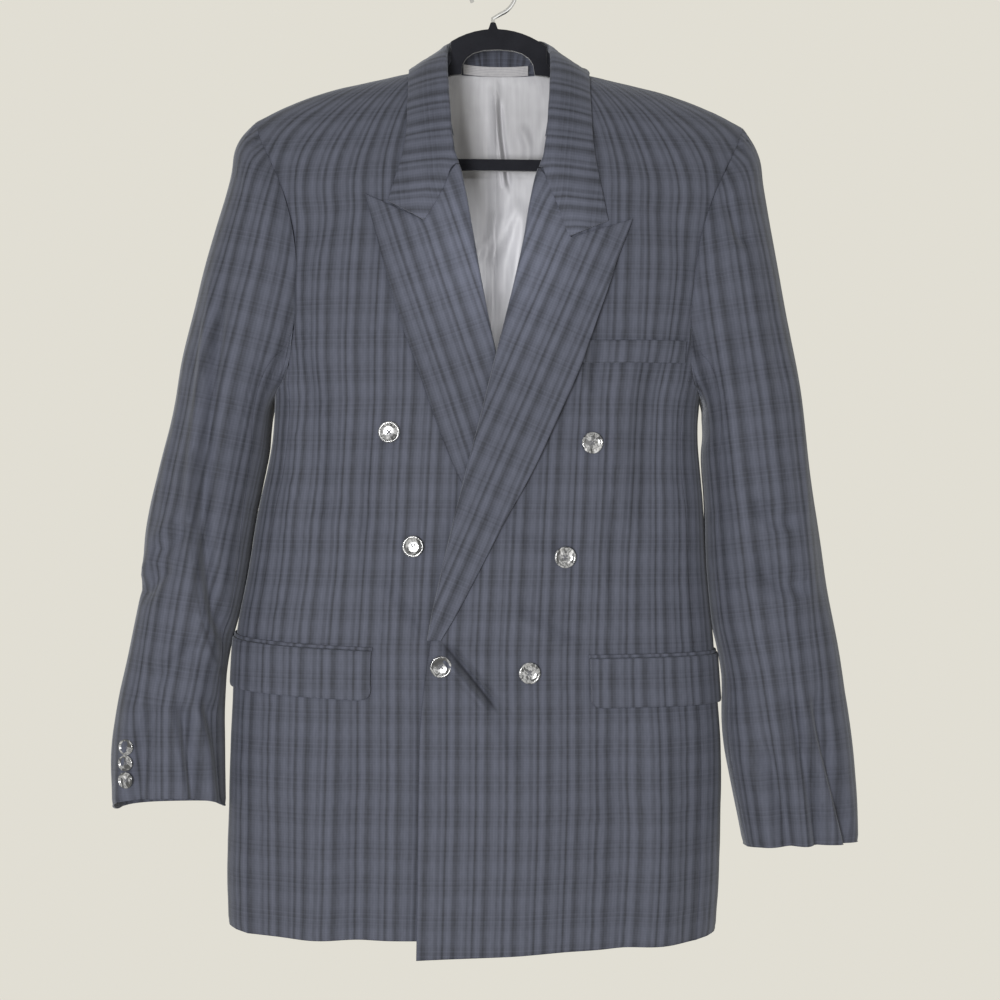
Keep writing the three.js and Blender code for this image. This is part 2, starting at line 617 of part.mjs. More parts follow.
function frontPanel(side) {
  const over = side > 0;
  const shares = SHOULDER_COLUMNS.map((x) => (x - NECK_HALF) / (SHOULDER_HALF - NECK_HALF));
  const dip = over ? HEM_DIP : -2;
  const top = (s) => {
    const x = mix(NECK_HALF, SHOULDER_HALF, s);
    return { x, z: ridge(x) };
  };
  const inner = (t) => {
    const z = mix(NECK_Z, FRONT_HEM_Z, t) - dip * ease(0.4, 1, t);
    return { x: frontEdgeX(over, z), z };
  };
  const outer = (t) => outerEdge(-1, t);
  const foot = (s) => ({
    x: mix(inner(1).x, outer(1).x, s),
    z: FRONT_HEM_Z - dip * (1 - s),
  });
  const places = spread(top, foot, inner, outer, shares, PANEL_ROWS);
  const lift = over ? overLift : () => 0;
  const grid = places.map((row) =>
    row.map(({ x, z }) => onBody(-1, side * x, z, lift(x, z))),
  );
  grid[0].forEach((p) => p.setY(0));
  const normals = panelNormals(grid, shares.length - 1);
  trim(grid, { first: HALF_SEAM, last: HALF_SEAM, top: HALF_SEAM });
  return clothWall(settled(grid), normals, CLOTH);
}

function backPlaces(side) {
  const columns = [...BACK_NECK_COLUMNS, ...SHOULDER_COLUMNS];
  const shares = columns.map((x) => x / SHOULDER_HALF);
  const top = (s) => {
    const x = s * SHOULDER_HALF;
    return { x, z: x < NECK_HALF ? NECK_Z : ridge(x) };
  };
  const inner = (t) => ({ x: 0, z: mix(NECK_Z, BACK_HEM_Z, t) });
  const outer = (t) => outerEdge(1, t);
  const foot = (s) => ({ x: s * outer(1).x, z: BACK_HEM_Z });
  const places = spread(top, foot, inner, outer, shares, PANEL_ROWS);
  const grid = places.map((row) => row.map(({ x, z }) => onBody(1, side * x, z)));
  for (let c = BACK_NECK_COLUMNS.length; c < columns.length; c += 1) grid[0][c].setY(0);
  const normals = grid.map((row, r) =>
    row.map((p, c) => {
      if (r < ARMHOLE_ROWS && c === columns.length - 1) return armholeNormal(p);
      if (r === 0 && c >= BACK_NECK_COLUMNS.length) return bodyNormal({ x: p.x, y: 0, z: ridge(p.x) });
      return bodyNormal(p);
    }),
  );
  return { grid, normals };
}

function backPanel(side) {
  const { grid, normals } = backPlaces(side);
  trim(grid, { first: HALF_SEAM, last: HALF_SEAM, top: HALF_SEAM });
  return clothWall(settled(grid), normals, CLOTH);
}

const seamTurn = () => Math.acos(SIDE_SEAM_X ** (SQUARENESS / 2));

// Turn round the section where the armhole's foot crosses a level
function footTurn(z) {
  const across = Math.min(1, read(ARMHOLE, 'z', z, 'front') / read(BODY, 'z', z, 'half'));
  return Math.acos(across ** (SQUARENESS / 2));
}

const UNDERARM = [
  { turn: -seamTurn(), front: true },
  { turn: -footTurn(-402), level: -402 },
  { turn: -footTurn(-411), level: -411 },
  { turn: 0, level: ARMHOLE_FOOT_Z },
  { turn: footTurn(-411), level: -411 },
  { turn: footTurn(-402), level: -402 },
  { turn: seamTurn(), back: true },
];

function sidePanel(side) {
  const rows = PANEL_ROWS.slice(ARMHOLE_ROWS - 1);
  const grid = rows.map((share, r) => {
    const across = (share - rows[0]) / (1 - rows[0]);
    return UNDERARM.map((column, c) => {
      const seam = c / (UNDERARM.length - 1);
      const level = mix(edgeLevel(-1, share), edgeLevel(1, share), seam);
      const z = mix(column.level ?? level, level, column.level ? ease(0, 0.35, across) : 1);
      if (column.front || column.back) {
        const face = column.front ? -1 : 1;
        const edge = outerEdge(face, share);
        return onBody(face, side * edge.x, edge.z);
      }
      const even = mix(-seamTurn(), seamTurn(), seam);
      const turn = mix(column.turn, even, ease(0, 0.5, across));
      return roundBody(side, 1, turn, r === 0 ? column.level : z);
    });
  });
  const normals = grid.map((row, r) =>
    row.map((p) => (r === 0 ? armholeNormal(p) : bodyNormal(p))),
  );
  trim(grid, { first: HALF_SEAM, last: HALF_SEAM, top: HALF_SEAM });
  return clothWall(settled(grid), normals, CLOTH);
}

// Sleeves
function armholePoint(side, face, z) {
  const x = read(ARMHOLE, 'z', z, face < 0 ? 'front' : 'back');
  if (z >= ARMHOLE[0].z || z <= ARMHOLE_FOOT_Z) return new THREE.Vector3(side * x, 0, z);
  if (z < ARMHOLE[8].z) return roundBody(side, 1, face * footTurn(z), z);
  return onBody(face, side * x, z);
}

// Stations round the armhole, from the top down the front, under the arm and up the back
const RING = [
  ...ARMHOLE_LEVELS.map((z) => ({ face: -1, z })),
  ...[-402, -411].map((z) => ({ face: -1, z })),
  { face: -1, z: ARMHOLE_FOOT_Z },
  ...[-411, -402].map((z) => ({ face: 1, z })),
  ...ARMHOLE_LEVELS.slice(1).reverse().map((z) => ({ face: 1, z: edgeLevel(1, dropShare(z)) })),
];
const RING_TURNS = RING.map(({ face, z }) => {
  const middle = (ARMHOLE[0].z + ARMHOLE_FOOT_Z) / 2;
  const half = (ARMHOLE[0].z - ARMHOLE_FOOT_Z) / 2;
  const turn = Math.acos(THREE.MathUtils.clamp((z - middle) / half, -1, 1));
  return face < 0 ? turn : 2 * Math.PI - turn;
});

function sleeveFoldRise(turn, along) {
  let rise = 0;
  for (const fold of SLEEVE_FOLDS) {
    const t = (along - fold.at0) / (fold.at1 - fold.at0);
    if (t <= 0 || t >= 1) continue;
    const middle = THREE.MathUtils.degToRad(mix(fold.turn0, fold.turn1, t));
    const off = Math.atan2(Math.sin(turn - middle), Math.cos(turn - middle));
    const away = off / THREE.MathUtils.degToRad(fold.width);
    rise += fold.rise * Math.sin(Math.PI * t) * Math.exp(-away * away);
  }
  return rise;
}

// Point on a sleeve, by share of its length and turn from its outermost line to the front
function sleevePoint(side, table, along, turn) {
  const places = table.map((row, k) => ({ ...row, at: (k + 1) / table.length }));
  const row = (column) => read(places, 'at', along, column);
  const square = mix(CUFF_SQUARENESS, SLEEVE_SQUARENESS, ease(0, 0.3, along) - ease(0.6, 1, along));
  const sharp = 2 / square;
  const c = power(Math.cos(turn), sharp);
  const s = power(Math.sin(turn), sharp);
  const swell = 1 + sleeveFoldRise(turn, along) / row('depth');
  const bow = -side * row('bow') * Math.abs(Math.sin(turn)) ** 1.5 * (s > 0 ? 1 : BACK_BOW);
  const x = mix(row('inX'), row('outX'), (1 + c) / 2) + bow;
  const rise = (side < 0 ? CUFF_RISE.right : CUFF_RISE.left) * ease(0.955, 1, along) * Math.max(0, s);
  const z = mix(row('inZ'), row('outZ'), (1 + c) / 2) + rise;
  return new THREE.Vector3(x, row('y') - row('depth') * s * swell, z);
}

function sleeveRings(side, table) {
  const rings = [
    RING.map(({ face, z }) => {
      const p = armholePoint(side, face, z);
      return settle(p).add(new THREE.Vector3(side * HALF_SEAM * 2, 0, 0));
    }),
  ];
  table.forEach((_, k) => {
    const along = (k + 1) / table.length;
    const twist = THREE.MathUtils.degToRad(SLEEVE_TWIST) * ease(0.1, 1, along);
    rings.push(RING_TURNS.map((turn) => sleevePoint(side, table, along, turn + twist)));
  });
  return rings;
}

const BACK_SEAM = RING.length - TOP_SLEEVE_START;
const FRONT_SEAM = TOP_SLEEVE_END;

function sleeveNormals(rings, side) {
  const closed = rings.map((ring) => [ring[ring.length - 1], ...ring, ring[0]]);
  return gridNormals(closed).map((row, k) =>
    row.slice(1, -1).map((n, j) => {
      if (k === 0) return armholeNormal(armholePoint(side, RING[j].face, RING[j].z));
      return side > 0 ? n.negate() : n;
    }),
  );
}

function sleevePiece(side, rings, normals, columns) {
  const grid = rings.map((ring) => columns.map((c) => ring[c % ring.length].clone()));
  const facing = normals.map((ring) => columns.map((c) => ring[c % ring.length]));
  trim(grid, { first: HALF_SEAM, last: HALF_SEAM });
  return clothWall(grid, facing, CLOTH);
}

const range = (from, to) => Array.from({ length: to - from + 1 }, (_, i) => from + i);

// Lapels: rows from the gorge to the foot, columns from the roll to the outer edge
function lapelDip(share, rows, z) {
  const drop = rows.gorgeZ - mix(rows.rollZ, rows.edgeZ, GORGE);
  const tent = share < GORGE ? share / GORGE : (1 - share) / (1 - GORGE);
  return drop * tent * (1 - ease(0, GORGE_FADE, rows.rollZ - z));
}

function lapel(side) {
  const over = side > 0;
  const table = over ? OVER_LAPEL : UNDER_LAPEL;
  const ends = over ? LEAF_ENDS.left : LEAF_ENDS.right;
  const rows = { rollZ: table[0].roll, edgeZ: table[0].edge, gorgeZ: ends.gorgeZ - 2 };
  const flatOff = LAPEL_CLOTH + ON_CLOTH;
  const lift = (x, z) => (over ? overLift(x, z) : 0);
  const grid = table.map((row) => {
    const rollX = frontEdgeX(over, row.roll);
    const narrow = Math.min(1, (row.x - rollX) / 24);
    const line = [];
    const wrap = [
      { out: ROLL, off: -0.9 },
      { out: ROLL * 0.75, off: ON_CLOTH + 1.5 },
    ];
    for (const { out, off } of wrap) {
      line.push(onBody(-1, side * (rollX - out), row.roll, lift(rollX, row.roll) + off));
    }
    for (const share of LAPEL_COLUMNS) {
      const x = mix(rollX, row.x, share);
      const z = mix(row.roll, row.edge, share) + lapelDip(share, rows, row.roll);
      const spring = 2.2 * Math.sin(Math.PI * Math.min(1, share * 1.6)) * narrow * (over ? 1 : 0.2);
      const fall = over
        ? 7 * ease(240, 330, -z) * (1 - ease(380, 640, -z))
        : 2.5 * ease(230, 280, -z) * (1 - ease(300, 400, -z));
      line.push(onBody(-1, side * x, z, lift(x, z) + flatOff + spring + fall * share ** 2));
    }
    return line;
  });
  const normals = gridNormals(grid).map((row) => row.map((n) => (n.y > 0 ? n.negate() : n)));
  normals.forEach((row) => {
    row[0].set(-side, 0, 0);
    row[1].set(-side, -1.2, 0).normalize();
  });
  return clothWall(settled(grid), normals, LAPEL_CLOTH);
}

// Collar: stations from the right front round the back to the left front
function collarStations() {
  const half = (side) => {
    const ends = side < 0 ? LEAF_ENDS.right : LEAF_ENDS.left;
    const rows = COLLAR.map((row) => {
      const back = row.foldY > 10;
      const rim = back ? 1 : row.edgeX >= 86 && row.foldY > 0 ? 0 : -1;
      const edge = rim === 0
        ? new THREE.Vector3(side * row.edgeX, 0, ridge(row.edgeX) + RIM_RISE)
        : offBody(rim, side * row.edgeX, row.edgeZ, COLLAR_CLOTH + LEAF_EDGE_GAP);
      const seam = onBody(back ? 1 : -1, side * row.seamX, row.seamZ);
      if (row.seamX === NECK_HALF) seam.y = 0;
      seam.x = side * (back || row.seamX === NECK_HALF ? row.seamX : frontEdgeX(side > 0, row.seamZ));
      const bow = rim === 0 ? RIM_BOW : LEAF_BOW;
      return { fold: new THREE.Vector3(side * row.foldX, row.foldY, row.foldZ), edge, seam, back, bow };
    });
    const off = COLLAR_CLOTH + ON_CLOTH + LEAF_SPRING;
    rows.push({
      fold: onBody(-1, side * ends.rollX, ends.rollZ, 2),
      gorge: onBody(-1, side * ends.gorgeX, ends.gorgeZ, off),
      edge: onBody(-1, side * ends.cornerX, ends.cornerZ, off),
      seam: onBody(-1, side * frontEdgeX(side > 0, ends.rollZ), ends.rollZ),
      back: false,
      bow: LEAF_BOW,
    });
    return rows;
  };
  const left = half(1);
  const right = half(-1).slice(1).reverse();
  return [...right, ...left];
}

function collarFrames(stations) {
  return stations.map((station, i) => {
    const before = stations[Math.max(0, i - 1)].fold;
    const after = stations[Math.min(stations.length - 1, i + 1)].fold;
    const along = after.clone().sub(before).normalize();
    const body = station.edge.clone().add(station.seam).multiplyScalar(0.5);
    const crest = station.fold.clone().sub(body);
    crest.addScaledVector(along, -crest.dot(along)).normalize();
    const leafSide = new THREE.Vector3().crossVectors(along, crest).normalize();
    const toLeaf = station.edge.clone().sub(station.seam);
    if (leafSide.dot(toLeaf) < 0) leafSide.negate();
    if (!station.back && leafSide.y > 0.2) leafSide.negate();
    return { crest, leafSide };
  });
}

function leafPoint(station, share) {
  if (!station.gorge) return station.fold.clone().lerp(station.edge, share);
  const middle = 0.48;
  return share < middle
    ? station.fold.clone().lerp(station.gorge, share / middle)
    : station.gorge.clone().lerp(station.edge, (share - middle) / (1 - middle));
}

function collarLeaf(stations, frames) {
  const grid = [];
  const normals = [];
  stations.forEach((station, i) => {
    const { crest, leafSide } = frames[i];
    const turn = (up, out) => crest.clone().multiplyScalar(up).addScaledVector(leafSide, out);
    const line = [
      station.fold.clone().add(turn(0, HALF_SEAM)),
      station.fold.clone().add(turn(-0.3 * COLLAR_ROLL, 0.75 * COLLAR_ROLL)),
    ];
    const facing = [turn(1, 0), turn(0.6, 0.8).normalize()];
    for (const share of LEAF_COLUMNS) {
      const p = leafPoint(station, share);
      const roll = (1 - share) ** 2;
      p.add(turn(-COLLAR_ROLL * roll * (share === 0 ? 1 : 0.4), COLLAR_ROLL * roll));
      p.addScaledVector(leafSide, station.bow * Math.sin(Math.PI * share));
      const keep = COLLAR_CLOTH + ON_CLOTH + LEAF_SPRING;
      if (!station.back && p.z < ridge(p.x) - 2 && Math.abs(p.x) > Math.abs(station.seam.x)) {
        p.y = Math.min(p.y, bodyY(-1, p.x, p.z, keep));
      }
      line.push(p);
      facing.push(null);
    }
    grid.push(line);
    normals.push(facing);
  });
  const own = gridNormals(grid);
  const facing = normals.map((row, r) =>
    row.map((n, c) => n ?? (own[r][c].dot(frames[r].leafSide) < 0 ? own[r][c].negate() : own[r][c])),
  );
  return clothWall(settled(grid), facing, COLLAR_CLOTH);
}

function collarStand(stations, frames) {
  const own = frames.slice(1, -1);
  const grid = stations.slice(1, -1).map((station, i) => {
    const { crest, leafSide } = own[i];
    const turn = (up, out) => crest.clone().multiplyScalar(up).addScaledVector(leafSide, out);
    const inside = station.seam.clone().addScaledVector(leafSide, -CLOTH);
    if (station.back) inside.z += STAND_SEAT;
    else if (station.seam.z === NECK_Z) inside.z += STAND_RIM_SEAT;
    else inside.x -= Math.sign(inside.x) * STAND_GAP;
    const shoulder = station.fold.clone().add(turn(-0.8 * STAND_ROLL, -STAND_ROLL));
    return [
      station.fold.clone().add(turn(0, -HALF_SEAM)),
      shoulder,
      shoulder.clone().lerp(inside, 0.5),
      inside,
    ];
  });
  const normals = grid.map((row, r) =>
    row.map((_, c) => (c === 0 ? own[r].crest.clone() : own[r].leafSide.clone().negate())),
  );
  return clothWall(settled(grid), normals, CLOTH);
}

// Pockets
function pocketLine(side, off, shares) {
  const pocket = side < 0 ? POCKETS.right : POCKETS.left;
  const end = -THREE.MathUtils.degToRad(FLAP_PAST_SIDE);
  const half = read(BODY, 'z', pocket.innerZ, 'half');
  const startTurn = (inner) => Math.acos((inner / half) ** (SQUARENESS / 2));
  const lift = (x, z) => (side > 0 ? overLift(x, z) : 0);
  return (inner, share, drop) => {
    const turn = mix(startTurn(inner), end, share);
    const z = mix(pocket.innerZ, pocket.outerZ, share) - drop;
    const p = roundBody(side, -1, turn, z, off);
    p.y -= lift(Math.abs(p.x), z);
    return p;
  };
}

function jet(side) {
  const pocket = side < 0 ? POCKETS.right : POCKETS.left;
  const place = pocketLine(side, CLOTH * 0.6 + ON_CLOTH);
  const grid = [-JET_HEIGHT, -JET_HEIGHT / 2, 0].map((drop) =>
    FLAP_COLUMNS.map((share) => place(pocket.inner - JET_OVERHANG, share, drop)),
  );
  const normals = grid.map((row) => row.map(bodyNormal));
  return clothWall(settled(grid), normals, CLOTH * 0.6);
}

function flap(side) {
  const pocket = side < 0 ? POCKETS.right : POCKETS.left;
  const place = pocketLine(side, LAPEL_CLOTH + ON_CLOTH + 0.4);
  const grid = [0, 0.3, 0.65, 1].map((down) =>
    FLAP_COLUMNS.map((share) => {
      const fromEnd = share * FLAP_LENGTH;
      const corner = fromEnd < FLAP_CORNER
        ? FLAP_CORNER - Math.sqrt(FLAP_CORNER ** 2 - (FLAP_CORNER - fromEnd) ** 2)
        : 0;
      return place(pocket.inner, share, 2 * HALF_SEAM + (FLAP_HEIGHT - corner) * down);
    }),
  );
  const normals = grid.map((row) => row.map(bodyNormal));
  return clothWall(settled(grid), normals, LAPEL_CLOTH);
}

function breastWelt() {
  const columns = range(0, 5).map((i) => i / 5);
  const grid = [0, 0.5, 1].map((down) =>
    columns.map((share) => {
      const x = mix(WELT.inner, WELT.outer, share);
      const z = WELT.topZ + WELT.rise * share - WELT.height * down;
      return onBody(-1, x, z, LAPEL_CLOTH + ON_CLOTH + overLift(x, z));
    }),
  );
  const normals = grid.map((row) => row.map(bodyNormal));
  return clothWall(settled(grid), normals, LAPEL_CLOTH);
}

// Lining and loop
function backLining() {
  const rows = range(1, LINING_ROWS);
  const sides = { '-1': backPlaces(-1), 1: backPlaces(1) };
  const at = (r, place) => {
    const { grid, normals } = sides[place < 0 ? -1 : 1];
    const c = Math.min(Math.floor(Math.abs(place)), grid[r].length - 2);
    const t = Math.abs(place) - c;
    const n = normals[r][c].clone().lerp(normals[r][c + 1], t).normalize();
    return { p: grid[r][c].clone().lerp(grid[r][c + 1], t), n };
  };
  const grid = [];
  const normals = [];
  rows.forEach((r, i) => {
    const down = i / (rows.length - 1);
    const line = LINING_COLUMNS.map((place) => at(r, place));
    grid.push(line.map(({ p, n }) => {
      const away = (p.x - LINING_PLEAT.x) / LINING_PLEAT.width;
      const pleat = LINING_PLEAT.rise * Math.exp(-away * away) * (1 - ease(0.5, 1, down)) * ease(0, 0.2, down);
      const gap = mix(LINING_GAP, LINING_FALL, ease(0, 0.3, down));
      return p.addScaledVector(n, -CLOTH - gap - LINING - pleat);
    }));
    normals.push(line.map(({ n }) => n.negate()));
  });
  return clothWall(settled(grid), normals, LINING);
}

function hangingLoop() {
  const columns = range(0, 6).map((i) => mix(-LOOP.half, LOOP.half, i / 6) + LOOP.middle);
  const grid = [0.5, -0.5].map((up) =>
    columns.map((x) => {
      const y = bodyY(1, x * LOOP.bend, NECK_Z) - CLOTH - LOOP.gap;
      return new THREE.Vector3(x, y, LOOP.z + up * LOOP.height);
    }),
  );
  grid.splice(1, 0, grid[0].map((p, c) => p.clone().lerp(grid[1][c], 0.5)));
  const normals = grid.map((row) => row.map(() => new THREE.Vector3(0, -1, 0)));
  return clothWall(settled(grid), normals, LOOP.thickness);
}

// Buttons
function buttonGeometry(radius) {
  const scale = radius / FRONT_BUTTON_RADIUS;
  const outline = [[0, 0], [7.6, 0], [10, 1.5], [9.2, 3.4], [7.8, 3.3], [6.5, 2.4], [0, 2.2]];
  const profile = outline.map(([r, h]) => new THREE.Vector2(r * scale, h * scale));
  return new THREE.LatheGeometry(profile, BUTTON_SIDES);
}

function addButton(name, radius, place, outward) {
  const mesh = add(name, buttonGeometry(radius), 'button');
  mesh.position.copy(place).addScaledVector(outward, BUTTON_SEAT);
  mesh.quaternion.setFromUnitVectors(new THREE.Vector3(0, 1, 0), outward);
}

// Hanger
function hangerFrame() {
  const seat = CLOTH + HANGER_SEAT;
  const arm = SHOULDER_COLUMNS.slice(1, -2);
  const armTop = (x) => ridgeChord(x) - seat;
  const archTop = (x) => ARCH.topZ - ARCH.radius + Math.sqrt(ARCH.radius ** 2 - (x - ARCH.middle) ** 2);
  const hole = range(0, 10).map((i) => {
    const turn = (Math.PI * i) / 10;
    const p = 2 / ARCH_HOLE.squareness;
    const x = ARCH_HOLE.middle + ARCH_HOLE.half * power(Math.cos(turn), p);
    return [x, ARCH_HOLE.footZ + ARCH_HOLE.height * Math.sin(turn) ** p];
  });
  const footZ = HANGER_BAR_TOP_Z - HANGER_BAR_HEIGHT;
  const outline = [];
  outline.push([-HANGER_END + 8, footZ], [HANGER_END - 8, footZ]);
  outline.push([HANGER_END - 2, footZ + 3], [HANGER_END, footZ + 9]);
  outline.push([HANGER_END, armTop(HANGER_END) - 8], [HANGER_END - 3, armTop(HANGER_END - 3) - 2.5]);
  [...arm].reverse().forEach((x) => outline.push([x, armTop(x)]));
  const nub = [
    [NUB.middle + NUB.half, archTop(NUB.middle + NUB.half)],
    [NUB.middle + NUB.topHalf, NUB.topZ],
    [NUB.middle - NUB.topHalf, NUB.topZ],
    [NUB.middle - NUB.half, archTop(NUB.middle - NUB.half)],
  ];
  const archLine = range(0, 12).map((i) => mix(ARCH.half, -ARCH.half, i / 12));
  const onArch = (columns) => columns.map((x) => [x, archTop(x)]);
  outline.push([62, NECK_Z - 8.5], [50, NECK_Z - 6], [ARCH.half, ARCH.sideZ]);
  outline.push(...onArch(archLine.filter((x) => x > NUB.middle + NUB.half + 1)), ...nub);
  outline.push(...onArch(archLine.filter((x) => x < NUB.middle - NUB.half - 1)));
  outline.push([-ARCH.half, ARCH.sideZ], [-50, NECK_Z - 6], [-62, NECK_Z - 8.5]);
  arm.forEach((x) => outline.push([-x, armTop(x)]));
  outline.push([-HANGER_END + 3, armTop(HANGER_END - 3) - 2.5], [-HANGER_END, armTop(HANGER_END) - 8]);
  outline.push([-HANGER_END, footZ + 9], [-HANGER_END + 2, footZ + 3]);
  const inside = [];
  const endX = HANGER_END - HANGER_BAND;
  inside.push([-endX + 2, HANGER_BAR_TOP_Z], [endX - 2, HANGER_BAR_TOP_Z]);
  inside.push([endX, HANGER_BAR_TOP_Z + 5], [endX - 1, armTop(endX) - HANGER_BAND - 4]);
  [...arm].reverse().slice(1, -1).forEach((x) => inside.push([x, armTop(x) - HANGER_BAND]));
  inside.push([60, ARCH_HOLE.footZ - 5.5], [46, ARCH_HOLE.footZ - 1], ...hole);
  inside.push([-46, ARCH_HOLE.footZ - 1], [-60, ARCH_HOLE.footZ - 5.5]);
  arm.slice(1, -1).forEach((x) => inside.push([-x, armTop(x) - HANGER_BAND]));
  inside.push([-endX + 1, armTop(endX) - HANGER_BAND - 4], [-endX, HANGER_BAR_TOP_Z + 5]);
  const toPath = (points) => points.map(([x, z]) => new THREE.Vector2(x, z));
  const shape = new THREE.Shape(toPath(outline));
  shape.holes.push(new THREE.Path(toPath(inside)));
  const geometry = new THREE.ExtrudeGeometry(shape, { depth: HANGER_THICKNESS, bevelEnabled: false });
  geometry.translate(0, 0, -HANGER_THICKNESS / 2);
  geometry.rotateX(Math.PI / 2);
  const place = geometry.getAttribute('position');
  for (let i = 0; i < place.count; i += 1) {
    const p = settle(new THREE.Vector3().fromBufferAttribute(place, i));
    place.setXYZ(i, p.x, p.y, p.z);
  }
  geometry.computeVertexNormals();
  return geometry;
}

function hangerHook() {
  const centreZ = HOOK_WIRE - HOOK_RADIUS;
  const foot = settle(new THREE.Vector3(NUB.middle, 0, NUB.topZ)).z + 2 * HALF_SEAM;
  const points = [new THREE.Vector3(0, 0, foot), new THREE.Vector3(0, 0, foot + 4)];
  for (let degrees = -68; degrees <= 205; degrees += 21) {
    const turn = THREE.MathUtils.degToRad(degrees);
    points.push(new THREE.Vector3(HOOK_RADIUS * Math.cos(turn), 0, centreZ + HOOK_RADIUS * Math.sin(turn)));
  }
  const path = new THREE.CatmullRomCurve3(points);
  const section = new THREE.Shape(
    range(0, HOOK_SIDES - 1).map((i) => {
      const turn = (2 * Math.PI * i) / HOOK_SIDES;
      return new THREE.Vector2(HOOK_WIRE * Math.cos(turn), HOOK_WIRE * Math.sin(turn));
    }),
  );
  return new THREE.ExtrudeGeometry(section, { steps: 36, extrudePath: path, bevelEnabled: false });
}

// Assembly
const SIDES = [
  { side: -1, wearer: 'right', sleeve: SLEEVE_RIGHT },
  { side: 1, wearer: 'left', sleeve: SLEEVE_LEFT },
];
const stations = collarStations();
const frames = collarFrames(stations);

for (const { side, wearer, sleeve } of SIDES) {
  add(`front_${wearer}`, frontPanel(side), 'cloth');
  add(`side_${wearer}`, sidePanel(side), 'cloth');
  add(`back_${wearer}`, backPanel(side), 'cloth');
  add(`lapel_${wearer}`, lapel(side), 'cloth');
  add(`jet_${wearer}`, jet(side), 'cloth');
  add(`flap_${wearer}`, flap(side), 'cloth');
  const rings = sleeveRings(side, sleeve);
  const normals = sleeveNormals(rings, side);
  const top = range(BACK_SEAM, RING.length + FRONT_SEAM);
  const under = range(FRONT_SEAM, BACK_SEAM);
  add(`sleeve_top_${wearer}`, sleevePiece(side, rings, normals, top), 'cloth');
  add(`sleeve_under_${wearer}`, sleevePiece(side, rings, normals, under), 'cloth');
}
add('collar_leaf', collarLeaf(stations, frames), 'cloth');
add('collar_stand', collarStand(stations, frames), 'cloth');
add('breast_welt', breastWelt(), 'cloth');
add('back_lining', backLining(), 'lining');
add('hanging_loop', hangingLoop(), 'tape');

FRONT_BUTTONS.forEach(({ x, z, on }, i) => {
  const own = garmentX(x, z);
  const lift = on === 'over' ? overLift(own, z) : 0;
  const base = onBody(-1, own, z, lift);
  addButton(`front_button_${i + 1}`, FRONT_BUTTON_RADIUS, settle(base), bodyNormal(base));
});

for (const { side, wearer, sleeve } of SIDES) {
  SLEEVE_BUTTONS.forEach((along, i) => {
    const turn = THREE.MathUtils.degToRad(SLEEVE_BUTTON_TURN[wearer]);
    const place = sleevePoint(side, sleeve, along, turn);
    const down = sleevePoint(side, sleeve, along + 0.01, turn).sub(place);
    const round = sleevePoint(side, sleeve, along, turn + 0.05).sub(place);
    const outward = down.cross(round).normalize();
    if (outward.y * turn > 0) outward.negate();
    const name = `sleeve_button_${wearer}_${i + 1}`;
    addButton(name, SLEEVE_BUTTON_RADIUS, place, outward);
  });
}

add('hanger_frame', hangerFrame(), 'frame');
add('hanger_hook', hangerHook(), 'hook');

for (const piece of blazer.children) {
  if (piece.name !== 'hanger_hook') piece.position.x += HANG_SHIFT;
}

export default blazer;
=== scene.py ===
"""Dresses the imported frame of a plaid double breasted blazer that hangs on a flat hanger.

Metres, +Z up, -Y towards the front of the garment, +X towards the wearer's left side. Each piece of
cloth is a fine shell on its solid's form, with the creases of the hanging garment pressed into it
and with the grain of its cut in its UV map, in metres.
"""

import logging
import math
from dataclasses import dataclass, field
from enum import Enum

import bmesh
import bpy
import numpy as np
from mathutils import Matrix, Vector


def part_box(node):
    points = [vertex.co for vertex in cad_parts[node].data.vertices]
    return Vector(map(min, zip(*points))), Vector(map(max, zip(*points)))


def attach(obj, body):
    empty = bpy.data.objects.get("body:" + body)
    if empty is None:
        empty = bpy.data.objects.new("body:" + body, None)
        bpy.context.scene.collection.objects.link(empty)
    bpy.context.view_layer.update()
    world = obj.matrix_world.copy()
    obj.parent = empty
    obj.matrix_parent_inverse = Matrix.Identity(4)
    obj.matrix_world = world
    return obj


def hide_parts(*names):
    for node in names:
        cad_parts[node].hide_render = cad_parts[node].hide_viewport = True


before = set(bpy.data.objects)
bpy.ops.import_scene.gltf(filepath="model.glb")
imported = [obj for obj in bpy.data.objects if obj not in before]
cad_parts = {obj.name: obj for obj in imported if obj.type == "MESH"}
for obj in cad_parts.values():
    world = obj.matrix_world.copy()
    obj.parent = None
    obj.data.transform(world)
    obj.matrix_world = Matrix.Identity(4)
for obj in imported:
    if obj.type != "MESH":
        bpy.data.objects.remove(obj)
log = logging.getLogger("blazer")

# Camera and room
CAMERA_PLACE = (0.0068, -1.46, -0.512)
CAMERA_LENS = 54.2
FLOOR_Z = -1.36
FLOOR_RADIUS = 0.9
WALL_COLOUR = (0.753, 0.730, 0.655)

# Body's section, about the garment's middle line: rows of height and value, 2 is an ellipse's squareness
GARMENT_PLACE = np.array([-0.0058, 0.0, 0.0])
SECTION_SQUARENESS = 2.8
SECTION_HALF = (
    (-0.95, 0.232), (-0.80, 0.237), (-0.65, 0.230), (-0.42, 0.205), (-0.24, 0.230), (-0.10, 0.280),
)
MIDDLE_LINE = (
    (-0.95, -0.017), (-0.80, -0.0125), (-0.65, -0.012), (-0.40, 0.002), (-0.24, 0.010), (-0.04, 0.011),
)
SECTION_DEPTH = 0.061
OUTWARD_HALF = 0.23
OUTWARD_LEAST = 0.15

